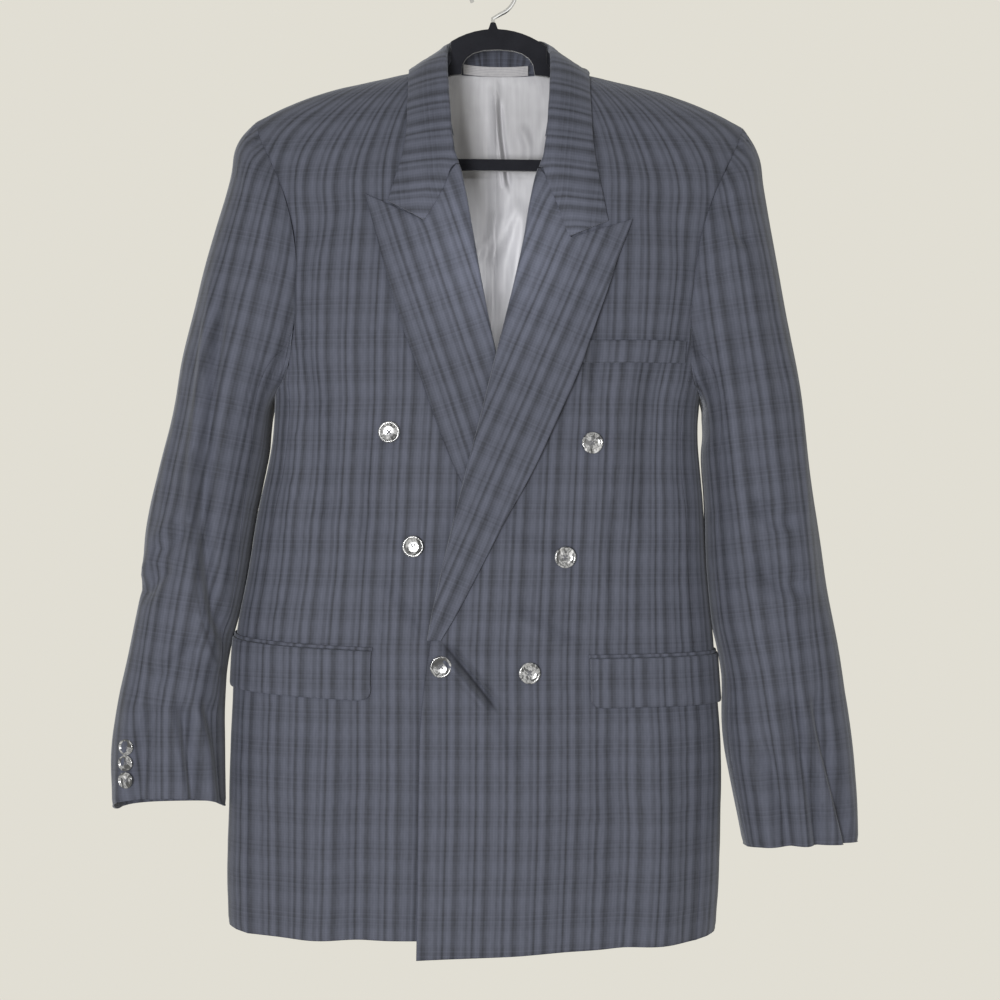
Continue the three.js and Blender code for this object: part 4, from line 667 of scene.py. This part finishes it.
# Materials
class Nodes:
    """Short ways to add and join the nodes of one material."""

    def __init__(self, name: str) -> None:
        """Starts a material with one surface shader."""
        self.material = bpy.data.materials.new(name)
        self.material.use_nodes = True
        self.tree = self.material.node_tree
        self.shader = self.tree.nodes["Principled BSDF"]

    def add(self, kind: str, inputs: dict, **settings) -> bpy.types.Node:
        """Adds a node.

        Args:
            kind: Type of the node.
            inputs: Values or sockets by the input's name or place.
            settings: Settings of the node.

        Returns:
            The new node.
        """
        node = self.tree.nodes.new(kind)
        for name, value in settings.items():
            setattr(node, name, value)
        for name, value in inputs.items():
            self.join(value, node.inputs[name])
        return node

    def join(self, value, socket) -> None:
        """Links a socket, or sets a plain value."""
        if isinstance(value, bpy.types.NodeSocket):
            self.tree.links.new(value, socket)
        else:
            socket.default_value = value

    def math(self, operation: str, a, b=0.0, c=0.0):
        """Result of a math node."""
        return self.add("ShaderNodeMath", {0: a, 1: b, 2: c}, operation=operation).outputs[0]

    def ramp(self, value, stops: tuple):
        """Colour or grey read from stops of place and colour."""
        node = self.add("ShaderNodeValToRGB", {"Fac": value})
        ramp = node.color_ramp
        while len(ramp.elements) < len(stops):
            ramp.elements.new(0.5)
        for element, (place, tone) in zip(ramp.elements, stops):
            element.position = place
            element.color = (tone, tone, tone, 1) if isinstance(tone, float) else (*tone, 1)
        return node.outputs["Color"]

    def place(self):
        """Place in the object's own metres."""
        return self.add("ShaderNodeTexCoord", {}).outputs["Object"]

    def noise(self, scale: float, detail: float = 2.0, stretch: tuple = (1, 1, 1)):
        """Noise by place."""
        mapped = self.add("ShaderNodeMapping", {"Vector": self.place(), "Scale": stretch})
        inputs = {"Vector": mapped.outputs[0], "Scale": scale, "Detail": detail}
        return self.add("ShaderNodeTexNoise", inputs).outputs["Fac"]

    def mix(self, share, a, b):
        """Blend of two colours."""
        node = self.add("ShaderNodeMix", {0: share, 6: a, 7: b}, data_type="RGBA")
        return node.outputs[2]

    def painted_crease_share(self, crease: PaintedCreaseShade):
        """Share of painted crease shade at each place: one on the crease's line, none away from it, and only
        on the front.
        """
        (x0, z0), (x1, z1) = crease.start, crease.end
        length = math.hypot(x1 - x0, z1 - z0)
        dx, dz = (x1 - x0) / length, (z1 - z0) / length
        place = self.add("ShaderNodeSeparateXYZ", {0: self.place()})
        x = self.math("SUBTRACT", place.outputs[0], x0)
        z = self.math("SUBTRACT", place.outputs[2], z0)
        along = self.math("MULTIPLY_ADD", x, dx, self.math("MULTIPLY", z, dz))
        along = self.math("DIVIDE", along, length)
        away = self.math("MULTIPLY_ADD", x, dz, self.math("MULTIPLY", z, -dx))
        away = self.math("POWER", self.math("ABSOLUTE", self.math("DIVIDE", away, crease.width)), 1.5)
        line = self.math("EXPONENT", self.math("MULTIPLY", away, -1.0))
        enters = self.rising(along, -0.02, 0.10)
        leaves = self.rising(along, 1.06, 0.90)
        line = self.math("MULTIPLY", line, self.rising(place.outputs[1], -0.015, -0.03))
        return self.math("MULTIPLY", line, self.math("MULTIPLY", enters, leaves))

    def rising(self, value, start: float, end: float):
        """Share of 0 to 1 as a value goes from start to end."""
        return self.add("ShaderNodeMapRange", {0: value, 1: start, 2: end}).outputs[0]

    def bump(self, height, strength: float, distance: float, under=None):
        """Bumped normal from a height."""
        inputs = {"Height": height, "Strength": strength, "Distance": distance}
        if under is not None:
            inputs["Normal"] = under
        return self.add("ShaderNodeBump", inputs).outputs[0]

    def finish(self, **sockets) -> bpy.types.Material:
        """Sets the shader's sockets, named with underscores for spaces."""
        for name, value in sockets.items():
            self.join(value, self.shader.inputs[name.replace("_", " ")])
        return self.material


@dataclass(frozen=True)
class PlaidWool:
    """Slate plaid suiting: dark and pale yarns in a fine twill, with painted shade along its tightest
    creases.
    """

    dark: tuple = (0.0135, 0.0153, 0.0225, 1)
    pale: tuple = (0.067, 0.073, 0.101, 1)
    # Colour of the painted crease shade, not a yarn of the cloth.
    shade: tuple = (0.004, 0.005, 0.008, 1)
    warp: tuple = (
        (0.0, 0.66), (0.045, 0.57), (0.105, 0.14), (0.135, 0.16), (0.19, 0.52), (0.26, 0.72),
        (0.34, 0.64), (0.41, 0.30), (0.47, 0.14), (0.53, 0.24), (0.64, 0.52), (0.74, 0.67),
        (0.81, 0.60), (0.885, 0.34), (0.94, 0.45), (1.0, 0.67),
    )
    weft: tuple = (
        (0.0, 0.55), (0.30, 0.56), (0.37, 0.49), (0.405, 0.44), (0.46, 0.50), (0.505, 0.42),
        (0.545, 0.43), (0.61, 0.54), (0.655, 0.38), (0.69, 0.39), (0.75, 0.54), (0.80, 0.43),
        (0.86, 0.48), (0.95, 0.54), (1.0, 0.55),
    )

    def make(self) -> bpy.types.Material:
        """Makes the material."""
        n = Nodes("plaid_wool")
        grain = n.add("ShaderNodeUVMap", {}, uv_map="grain").outputs[0]
        wander = n.math("MULTIPLY_ADD", n.noise(9.0), 0.0026, -0.0013)
        split = n.add("ShaderNodeSeparateXYZ", {0: grain})
        across = n.math("ADD", split.outputs[0], wander)
        up = n.math("ADD", split.outputs[1], wander)
        warp = n.ramp(n.math("FRACT", n.math("DIVIDE", across, WARP_REPEAT)), self.warp)
        weft = n.ramp(n.math("FRACT", n.math("DIVIDE", up, WEFT_REPEAT)), self.weft)
        share = n.math("ADD", warp, n.math("SUBTRACT", weft, 0.5))
        slub = n.math("MULTIPLY_ADD", n.noise(380.0, 3.0, (1, 1, 0.3)), 0.34, -0.17)
        cloudy = n.math("MULTIPLY_ADD", n.noise(28.0, 3.0), 0.10, -0.05)
        share = n.math("ADD", n.math("ADD", share, slub), cloudy)
        twill = n.math("FRACT", n.math("DIVIDE", n.math("ADD", across, up), TWILL_PITCH))
        ridge = n.math("PINGPONG", twill, 0.5)
        pins = n.math("PINGPONG", n.math("DIVIDE", up, PIN_PITCH), 0.5)
        bars = n.math("PINGPONG", n.math("DIVIDE", across, BAR_PITCH), 0.5)
        fine = n.math("MULTIPLY_ADD", n.math("ADD", pins, bars), 0.22, -0.11)
        share = n.math("ADD", share, fine)
        share = n.math("ADD", share, n.math("MULTIPLY_ADD", ridge, 0.16, -0.04))
        colour = n.mix(share, self.dark, self.pale)
        # Painted shade: the cloth's colour is darkened towards the shade colour along each tight crease,
        # where a fold's shade would fall.
        painted_shade = 0.0
        for crease in PAINTED_CREASE_SHADES:
            painted_shade = n.math("MAXIMUM", painted_shade, n.math("MULTIPLY", n.painted_crease_share(crease), crease.shade))
        colour = n.mix(painted_shade, colour, self.shade)
        fuzz = n.bump(n.noise(1500.0, 2.0), 0.25, 0.0004)
        weave = n.bump(ridge, 0.30, 0.0005, fuzz)
        return n.finish(
            Base_Color=colour, Roughness=n.math("MULTIPLY_ADD", share, 0.12, 0.74), Normal=weave,
            Sheen_Weight=0.18, Sheen_Roughness=0.45, Sheen_Tint=(0.80, 0.84, 0.92, 1),
            Specular_IOR_Level=0.28,
        )


@dataclass(frozen=True)
class Satin:
    """Silver lining satin with fine lengthwise streaks."""

    low: tuple = (0.29, 0.29, 0.31)
    high: tuple = (0.40, 0.40, 0.425)
    roughness: float = 0.52
    streak: float = 240.0

    def make(self) -> bpy.types.Material:
        """Makes the material."""
        n = Nodes("lining_satin")
        streaks = n.noise(self.streak, 2.0, (1, 1, 0.04))
        cloud = n.noise(22.0, 3.0)
        share = n.math("MULTIPLY_ADD", streaks, 0.5, n.math("MULTIPLY", cloud, 0.5))
        colour = n.ramp(share, ((0.25, self.low), (0.75, self.high)))
        rough = n.math("MULTIPLY_ADD", cloud, 0.18, self.roughness - 0.08)
        weave = n.bump(n.noise(900.0, 2.0, (1, 1, 0.3)), 0.12, 0.0003)
        ripple = n.bump(n.noise(34.0, 2.0, (1.6, 1, 0.5)), 0.35, 0.004, weave)
        return n.finish(
            Base_Color=colour, Roughness=rough, Normal=ripple, Sheen_Weight=0.15,
            Specular_IOR_Level=0.35,
        )


class Tape:
    """Pale woven tape of the hanging loop."""

    def make(self) -> bpy.types.Material:
        """Makes the material."""
        n = Nodes("woven_tape")
        split = n.add("ShaderNodeSeparateXYZ", {0: n.place()})
        rib = n.math("PINGPONG", n.math("DIVIDE", split.outputs[2], TAPE_RIB), 0.5)
        tone = n.math("MULTIPLY_ADD", n.noise(300.0), 0.3, n.math("MULTIPLY", rib, 0.7))
        colour = n.ramp(tone, ((0.1, (0.22, 0.218, 0.232)), (0.6, (0.36, 0.357, 0.375))))
        ribbed = n.bump(rib, 0.4, 0.0004)
        return n.finish(Base_Color=colour, Roughness=0.55, Normal=ribbed, Sheen_Weight=0.2)


class MarbledButton:
    """Polished smoky button with pale and dark clouds."""

    def make(self) -> bpy.types.Material:
        """Makes the material."""
        n = Nodes("marbled_button")
        swirl = {"Vector": n.place(), "Scale": 105.0, "Detail": 2.5, "Distortion": 1.4}
        value = n.add("ShaderNodeTexNoise", swirl).outputs["Fac"]
        stops = (
            (0.36, (0.012, 0.013, 0.016)), (0.46, (0.035, 0.037, 0.042)), (0.52, (0.26, 0.263, 0.27)),
            (0.58, (0.05, 0.052, 0.057)), (0.70, (0.42, 0.42, 0.43)),
        )
        return n.finish(
            Base_Color=n.ramp(value, stops), Roughness=n.math("MULTIPLY_ADD", value, 0.14, 0.10),
            Coat_Weight=0.8, Coat_Roughness=0.08, Specular_IOR_Level=0.7,
        )


class Thread:
    """Dark sewing thread."""

    def make(self) -> bpy.types.Material:
        """Makes the material."""
        n = Nodes("thread")
        tone = n.noise(2600.0)
        colour = n.ramp(tone, ((0.3, (0.035, 0.036, 0.045)), (0.7, (0.09, 0.093, 0.11))))
        spun = n.bump(tone, 0.3, 0.0002)
        return n.finish(Base_Color=colour, Roughness=0.7, Normal=spun, Sheen_Weight=0.3)


class Flock:
    """Black flocked coat of the hanger."""

    def make(self) -> bpy.types.Material:
        """Makes the material."""
        n = Nodes("black_flock")
        pile = n.noise(1900.0, 3.0)
        patch = n.noise(40.0, 2.0)
        tone = n.math("MULTIPLY_ADD", pile, 0.6, n.math("MULTIPLY", patch, 0.4))
        colour = n.ramp(tone, ((0.25, (0.005, 0.005, 0.007)), (0.75, (0.016, 0.017, 0.022))))
        return n.finish(
            Base_Color=colour, Roughness=0.95, Normal=n.bump(pile, 0.6, 0.0006), Sheen_Weight=0.35,
            Sheen_Roughness=0.35, Specular_IOR_Level=0.1,
        )


class Chrome:
    """Bright wire of the hook with faint drawing marks."""

    def make(self) -> bpy.types.Material:
        """Makes the material."""
        n = Nodes("bright_wire")
        marks = n.noise(350.0, 3.0)
        colour = n.ramp(marks, ((0.3, (0.55, 0.56, 0.58)), (0.7, (0.70, 0.71, 0.73))))
        rough = n.math("MULTIPLY_ADD", marks, 0.12, 0.10)
        drawn = n.bump(marks, 0.08, 0.0002)
        return n.finish(Base_Color=colour, Metallic=1.0, Roughness=rough, Normal=drawn)


class Plaster:
    """Pale matte floor."""

    def make(self) -> bpy.types.Material:
        """Makes the material."""
        n = Nodes("pale_floor")
        tone = n.noise(3.0, 4.0)
        colour = n.ramp(tone, ((0.3, (0.72, 0.70, 0.63)), (0.7, (0.76, 0.74, 0.67))))
        return n.finish(Base_Color=colour, Roughness=0.9, Normal=n.bump(n.noise(60.0), 0.05, 0.002))


class Finishes:
    """One material of each kind, shared by the pieces."""

    def __init__(self) -> None:
        """Makes the materials."""
        self.wool = PlaidWool().make()
        self.satin = Satin().make()
        self.tape = Tape().make()
        self.button = MarbledButton().make()
        self.thread = Thread().make()
        self.flock = Flock().make()
        self.chrome = Chrome().make()

    def of_cloth(self, slot: str) -> bpy.types.Material:
        """Material of the cloth in a slot."""
        return {"cloth": self.wool, "lining": self.satin, "tape": self.tape}[slot]


@dataclass(frozen=True)
class Cut:
    """Flat size of a piece of cloth before sewing, in metres and square metres."""

    width: float
    length: float
    area: float


@dataclass
class ClothPiece:
    """One cut piece of cloth, as a fine shell on its solid."""

    node: str
    cut: Cut
    grain: Grain = Grain.BODY
    side: int = 0
    levels: int = 3
    slot: str = "cloth"
    obj: bpy.types.Object = None

    def outward(self, points: np.ndarray) -> np.ndarray:
        """Outward directions at the piece's points."""
        if self.grain is Grain.SLEEVE:
            return sleeve_outward(points, self.side)
        return body_outward(points)

    def lift(self, points: np.ndarray) -> np.ndarray:
        """Displacement of the piece's points by its creases."""
        if self.grain is Grain.SLEEVE:
            return sleeve_lift(points, self.side)
        lift = body_lift(points)
        x, _, z = points.T
        if self.grain is Grain.COLLAR:
            lift = lift * ramped(z, *COLLAR_FREE)[:, None]
        if self.node == "collar_leaf" or self.grain is Grain.LAPEL:
            lift = lift + gorge_closing(points, self.node == "collar_leaf")
        if self.slot == "lining":
            folds = sum(crease.height(x, z) for crease in LINING_CREASES)
            eased = LINING_EASE * ramped(z, *LINING_FREE)
            lift = lift + body_outward(points) * np.minimum(folds + eased, 0)[:, None]
        return lift

    def places(self, points: np.ndarray) -> np.ndarray:
        """Warp and weft places of the piece's points."""
        if self.grain is Grain.SLEEVE:
            return sleeve_grain(points, self.side)
        if self.grain is Grain.LAPEL:
            return lapel_grain(points, self.side)
        if self.grain is Grain.COLLAR:
            return collar_grain(points)
        return body_grain(points)

    def build(self) -> bpy.types.Object:
        """Builds the shell.

        Returns:
            The piece's object, which stands for its CAD node.
        """
        shell = Shell.from_node(self.node)
        for _ in range(self.levels):
            shell = shell.divided()
        rest = shell.points - GARMENT_PLACE
        outward = self.outward(rest)
        rim = shell.outer_rim(outward)
        shell.points = shell.points + self.lift(rest)
        shell.points[rim] -= outward[rim] * EDGE_PRESS
        self.obj = shell.to_object("cloth_" + self.node)
        layer = self.obj.data.uv_layers.new(name="grain")
        layer.data.foreach_set("uv", self.places(rest)[shell.faces.reshape(-1)].reshape(-1))
        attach(self.obj, "root")
        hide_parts(self.node)
        return self.obj

    def dress(self, finishes: Finishes) -> None:
        """Gives the piece its material."""
        self.obj.data.materials.append(finishes.of_cloth(self.slot))


SIDES = {"right": -1, "left": 1}


@dataclass
class Assembly:
    """Pieces that are built and dressed together."""

    finishes: Finishes
    pieces: list = field(default_factory=list)

    def listed(self) -> list:
        """Lists the assembly's pieces in order."""
        raise NotImplementedError

    def build(self) -> None:
        """Builds each piece."""
        self.pieces = self.listed()
        for piece in self.pieces:
            piece.build()

    def dress(self) -> None:
        """Dresses each piece."""
        for piece in self.pieces:
            piece.dress(self.finishes)


class Body(Assembly):
    """Fronts, side panels and back."""

    def listed(self) -> list:
        """Lists the panels."""
        pieces = []
        for wearer, side in SIDES.items():
            front = Cut(0.34, 0.86, 0.183) if side > 0 else Cut(0.30, 0.85, 0.184)
            pieces.append(ClothPiece(f"front_{wearer}", front, levels=4))
            pieces.append(ClothPiece(f"side_{wearer}", Cut(0.10, 0.55, 0.047)))
            pieces.append(ClothPiece(f"back_{wearer}", Cut(0.27, 0.84, 0.174)))
        return pieces


class Sleeves(Assembly):
    """Two-piece sleeves."""

    def listed(self) -> list:
        """Lists the top and under sleeves."""
        pieces = []
        for wearer, side in SIDES.items():
            for part, cut in (("top", Cut(0.22, 0.70, 0.111)), ("under", Cut(0.17, 0.61, 0.078))):
                pieces.append(ClothPiece(f"sleeve_{part}_{wearer}", cut, Grain.SLEEVE, side))
        return pieces


class CollarAndLapels(Assembly):
    """The two peaked lapels, the collar leaf and its stand."""

    def listed(self) -> list:
        """Lists the lapels and the collar."""
        facing = Cut(0.13, 0.47, 0.026)
        return [
            *(ClothPiece(f"lapel_{wearer}", facing, Grain.LAPEL, side) for wearer, side in SIDES.items()),
            ClothPiece("collar_leaf", Cut(0.50, 0.09, 0.026), Grain.COLLAR),
            ClothPiece("collar_stand", Cut(0.34, 0.030, 0.0077), Grain.COLLAR),
        ]


class Pockets(Assembly):
    """Jets and flaps of the hip pockets and the breast welt."""

    def listed(self) -> list:
        """Lists the pocket pieces."""
        pieces = []
        for wearer in SIDES:
            pieces.append(ClothPiece(f"jet_{wearer}", Cut(0.17, 0.0105, 0.00066), levels=2))
            pieces.append(ClothPiece(f"flap_{wearer}", Cut(0.17, 0.052, 0.0084)))
        return [*pieces, ClothPiece("breast_welt", Cut(0.11, 0.0225, 0.0024))]


class LiningAndLoop(Assembly):
    """Back lining and hanging loop."""

    def listed(self) -> list:
        """Lists the lining and the loop."""
        return [
            ClothPiece("back_lining", Cut(0.36, 0.43, 0.113), slot="lining"),
            ClothPiece("hanging_loop", Cut(0.068, 0.0102, 0.00068), slot="tape"),
        ]


@dataclass
class Button:
    """A four-hole button with a rim, sewn on with crossed thread."""

    node: str
    sides: int = 48
    holes: int = 4
    hole_share: float = 0.085
    hole_ring: float = 0.21
    disc: bpy.types.Object = None
    thread: bpy.types.Object = None

    def seat(self) -> tuple:
        """Finds where the button sits.

        Returns:
            Centre of its face, its outward direction, its radius and its thickness.
        """
        points = np.array([v.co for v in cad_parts[self.node].data.vertices], float)
        centre = (points.max(0) + points.min(0)) / 2
        _, _, axes = np.linalg.svd(points - points.mean(0), full_matrices=False)
        outward = axes[2] if axes[2][1] < 0 else -axes[2]
        height = (points - centre) @ outward
        spread = points - centre - np.outer(height, outward)
        return centre, outward, np.linalg.norm(spread, axis=1).max(), height.max() - height.min()

    def build(self) -> None:
        """Builds the disc and its thread."""
        centre, outward, radius, thick = self.seat()
        move = np.zeros(3)
        if self.node.startswith("front"):
            move = body_lift(centre[None, :] - GARMENT_PLACE)[0]
        turn = Vector(outward).to_track_quat("Z", "Y").to_matrix().to_4x4()
        place = Matrix.Translation(Vector(centre + move)) @ turn
        bm = bmesh.new()
        rings = []
        for share, high in BUTTON_PROFILE:
            if share == 0:
                rings.append([bm.verts.new((0, 0, high * thick))])
                continue
            out = share * radius
            angles = [2 * math.pi * i / self.sides for i in range(self.sides)]
            spots = [(out * math.cos(a), out * math.sin(a), high * thick) for a in angles]
            rings.append([bm.verts.new(spot) for spot in spots])
        for lower, upper in zip(rings[:-1], rings[1:]):
            for i in range(self.sides):
                j = (i + 1) % self.sides
                if len(lower) == 1:
                    bm.faces.new((lower[0], upper[j], upper[i]))
                elif len(upper) == 1:
                    bm.faces.new((lower[i], lower[j], upper[0]))
                else:
                    bm.faces.new((lower[i], lower[j], upper[j], upper[i]))
        self.disc = self.made("button_", bm, place)
        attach(self.disc, "root")
        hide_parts(self.node)
        self.thread = self.sew(place, radius, thick)
        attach(self.thread, "root")

    def made(self, kind: str, bm: bmesh.types.BMesh, place: Matrix) -> bpy.types.Object:
        """Makes a smooth object of a mesh that was built about the button's middle."""
        mesh = bpy.data.meshes.new(kind + self.node)
        bm.to_mesh(mesh)
        bm.free()
        mesh.shade_smooth()
        mesh.transform(place)
        return added(kind + self.node, mesh)

    def sew(self, place: Matrix, radius: float, thick: float) -> bpy.types.Object:
        """Makes dark discs of the thread's material on the button's face for its holes, partly the thread in
        each hole and partly painted shade of the hole's depth, and the crossed thread.

        Args:
            place: Where the button is.
            radius: Radius of the button.
            thick: Thickness of the button.

        Returns:
            The thread's object.
        """
        bm = bmesh.new()
        ring = radius * self.hole_ring
        face = thick * HOLE_FACE
        mouth = radius * self.hole_share
        # The button has no real holes: each hole is a flat dark disc, partly the thread in it and partly
        # painted shade of its depth.
        for i in range(self.holes):
            angle = math.pi / 4 + 2 * math.pi * i / self.holes
            spot = Matrix.Translation((ring * math.cos(angle), ring * math.sin(angle), face))
            bmesh.ops.create_circle(bm, cap_ends=True, segments=14, radius=mouth, matrix=spot)
        strand = radius * THREAD_RADIUS
        for i in range(2):
            angle = math.pi / 4 + math.pi / 2 * i
            for k in range(3):
                shift = (k - 1) * radius * THREAD_SPACING
                bar = Matrix.Translation((0, shift, face + thick * THREAD_RAISE))
                lying = Matrix.Rotation(angle, 4, "Z") @ bar @ Matrix.Rotation(math.pi / 2, 4, "Y")
                bmesh.ops.create_cone(
                    bm, cap_ends=True, segments=8, radius1=strand, radius2=strand, depth=ring * 2,
                    matrix=lying,
                )
        return self.made("thread_", bm, place)

    def dress(self, finishes: Finishes) -> None:
        """Dresses the button and its thread."""
        self.disc.data.materials.append(finishes.button)
        self.thread.data.materials.append(finishes.thread)


class Buttons(Assembly):
    """All the buttons of the front and the sleeves."""

    def listed(self) -> list:
        """Lists a button for each of their nodes."""
        return [Button(name) for name in sorted(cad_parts) if "_button_" in name]


@dataclass
class Hanger:
    """Flat flocked frame and its round wire hook."""

    finishes: Finishes
    edge: float = 0.0016
    wire: float = 0.002
    radius: float = 0.022
    stem: float = 0.004
    bend: tuple = (-68, 206, 7)
    body: bpy.types.Object = None
    hook: bpy.types.Object = None

    def build(self) -> None:
        """Builds the frame with soft edges and the hook as a smooth tube."""
        shell = Shell.from_node("hanger_frame")
        self.body = shell.to_object("hanger_body")
        bm = bmesh.new()
        bm.from_mesh(self.body.data)
        bmesh.ops.dissolve_limit(bm, angle_limit=math.radians(1), verts=bm.verts, edges=bm.edges)
        bm.to_mesh(self.body.data)
        bm.free()
        soft = self.body.modifiers.new("soft_edges", "BEVEL")
        soft.width = self.edge
        soft.segments = 3
        soft.limit_method = "ANGLE"
        soft.angle_limit = math.radians(50)
        graph = bpy.context.evaluated_depsgraph_get()
        mesh = bpy.data.meshes.new_from_object(self.body.evaluated_get(graph))
        self.body.modifiers.clear()
        self.body.data = mesh
        mesh.shade_smooth()
        mesh.set_sharp_from_angle(angle=math.radians(40))
        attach(self.body, "root")
        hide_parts("hanger_frame")
        self.hook = self.make_hook()
        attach(self.hook, "root")
        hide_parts("hanger_hook")

    def make_hook(self) -> bpy.types.Object:
        """Bends the wire round the rail."""
        low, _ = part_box("hanger_hook")
        centre = self.wire - self.radius
        places = [(0, 0, low.z), (0, 0, low.z + self.stem)]
        for degrees in range(*self.bend):
            turn = math.radians(degrees)
            places.append((self.radius * math.cos(turn), 0, centre + self.radius * math.sin(turn)))
        curve = bpy.data.curves.new("hanger_wire", "CURVE")
        curve.dimensions = "3D"
        curve.bevel_depth = self.wire
        curve.bevel_resolution = 6
        curve.use_fill_caps = True
        line = curve.splines.new("POLY")
        line.points.add(len(places) - 1)
        for point, place in zip(line.points, places):
            point.co = (*place, 1)
        made = added("wire_curve", curve)
        graph = bpy.context.evaluated_depsgraph_get()
        mesh = bpy.data.meshes.new_from_object(made.evaluated_get(graph))
        bpy.data.objects.remove(made)
        mesh.shade_smooth()
        return added("hanger_wire", mesh)

    def dress(self) -> None:
        """Dresses the hanger."""
        self.body.data.materials.clear()
        self.body.data.materials.append(self.finishes.flock)
        self.hook.data.materials.append(self.finishes.chrome)


class Studio:
    """Camera, lights, room tone and floor."""

    def build(self) -> None:
        """Sets the camera, the lights and the floor."""
        scene = bpy.context.scene
        scene.view_settings.view_transform = "Standard"
        camera = bpy.data.cameras.new("camera")
        camera.lens = CAMERA_LENS
        camera.sensor_width = 36
        eye = added("camera", camera)
        eye.location = CAMERA_PLACE
        eye.rotation_euler = (math.pi / 2, 0, 0)
        scene.camera = eye
        world = bpy.data.worlds.new("room")
        world.use_nodes = True
        world.node_tree.nodes["Background"].inputs[0].default_value = (*WALL_COLOUR, 1)
        world.node_tree.nodes["Background"].inputs[1].default_value = 1.0
        scene.world = world
        self.light("AREA", "key", (-0.38, -1.78, -0.62), CHEST, 36).size = 0.4
        beam = self.light("SPOT", "beam", (0.02, -1.6, -0.30), NECK_OPENING, 95)
        beam.spot_size = math.radians(7.0)
        beam.spot_blend = 1.0
        beam.shadow_soft_size = 0.05
        self.light("AREA", "fill", (1.3, -2.2, -0.5), CHEST, 8).size = 1.6
        bpy.ops.mesh.primitive_circle_add(
            vertices=96, radius=FLOOR_RADIUS, fill_type="NGON", location=(0, 0, FLOOR_Z),
        )
        floor = bpy.context.object
        floor.name = "floor"
        floor.data.materials.append(Plaster().make())

    def light(self, kind: str, name: str, place: tuple, target: tuple, power: float) -> bpy.types.Light:
        """Adds a light.

        Args:
            kind: Kind of the light.
            name: Name of the light.
            place: Where it is.
            target: What it looks at.
            power: Its watts.

        Returns:
            The light, for its own settings.
        """
        light = bpy.data.lights.new(name, kind)
        light.energy = power
        obj = added(name, light)
        obj.location = place
        aim = Vector(target) - Vector(place)
        obj.rotation_euler = aim.to_track_quat("-Z", "Y").to_euler()
        return light


def main() -> None:
    """Builds the studio, then builds and dresses each sub-assembly."""
    logging.basicConfig(level=logging.INFO, format="%(name)s: %(message)s")
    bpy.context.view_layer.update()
    Studio().build()
    finishes = Finishes()
    for kind in (Body, Sleeves, CollarAndLapels, Pockets, LiningAndLoop, Buttons, Hanger):
        part = kind(finishes)
        part.build()
        part.dress()
        log.info("built %s", kind.__name__)


if __name__ == "__main__":
    main()
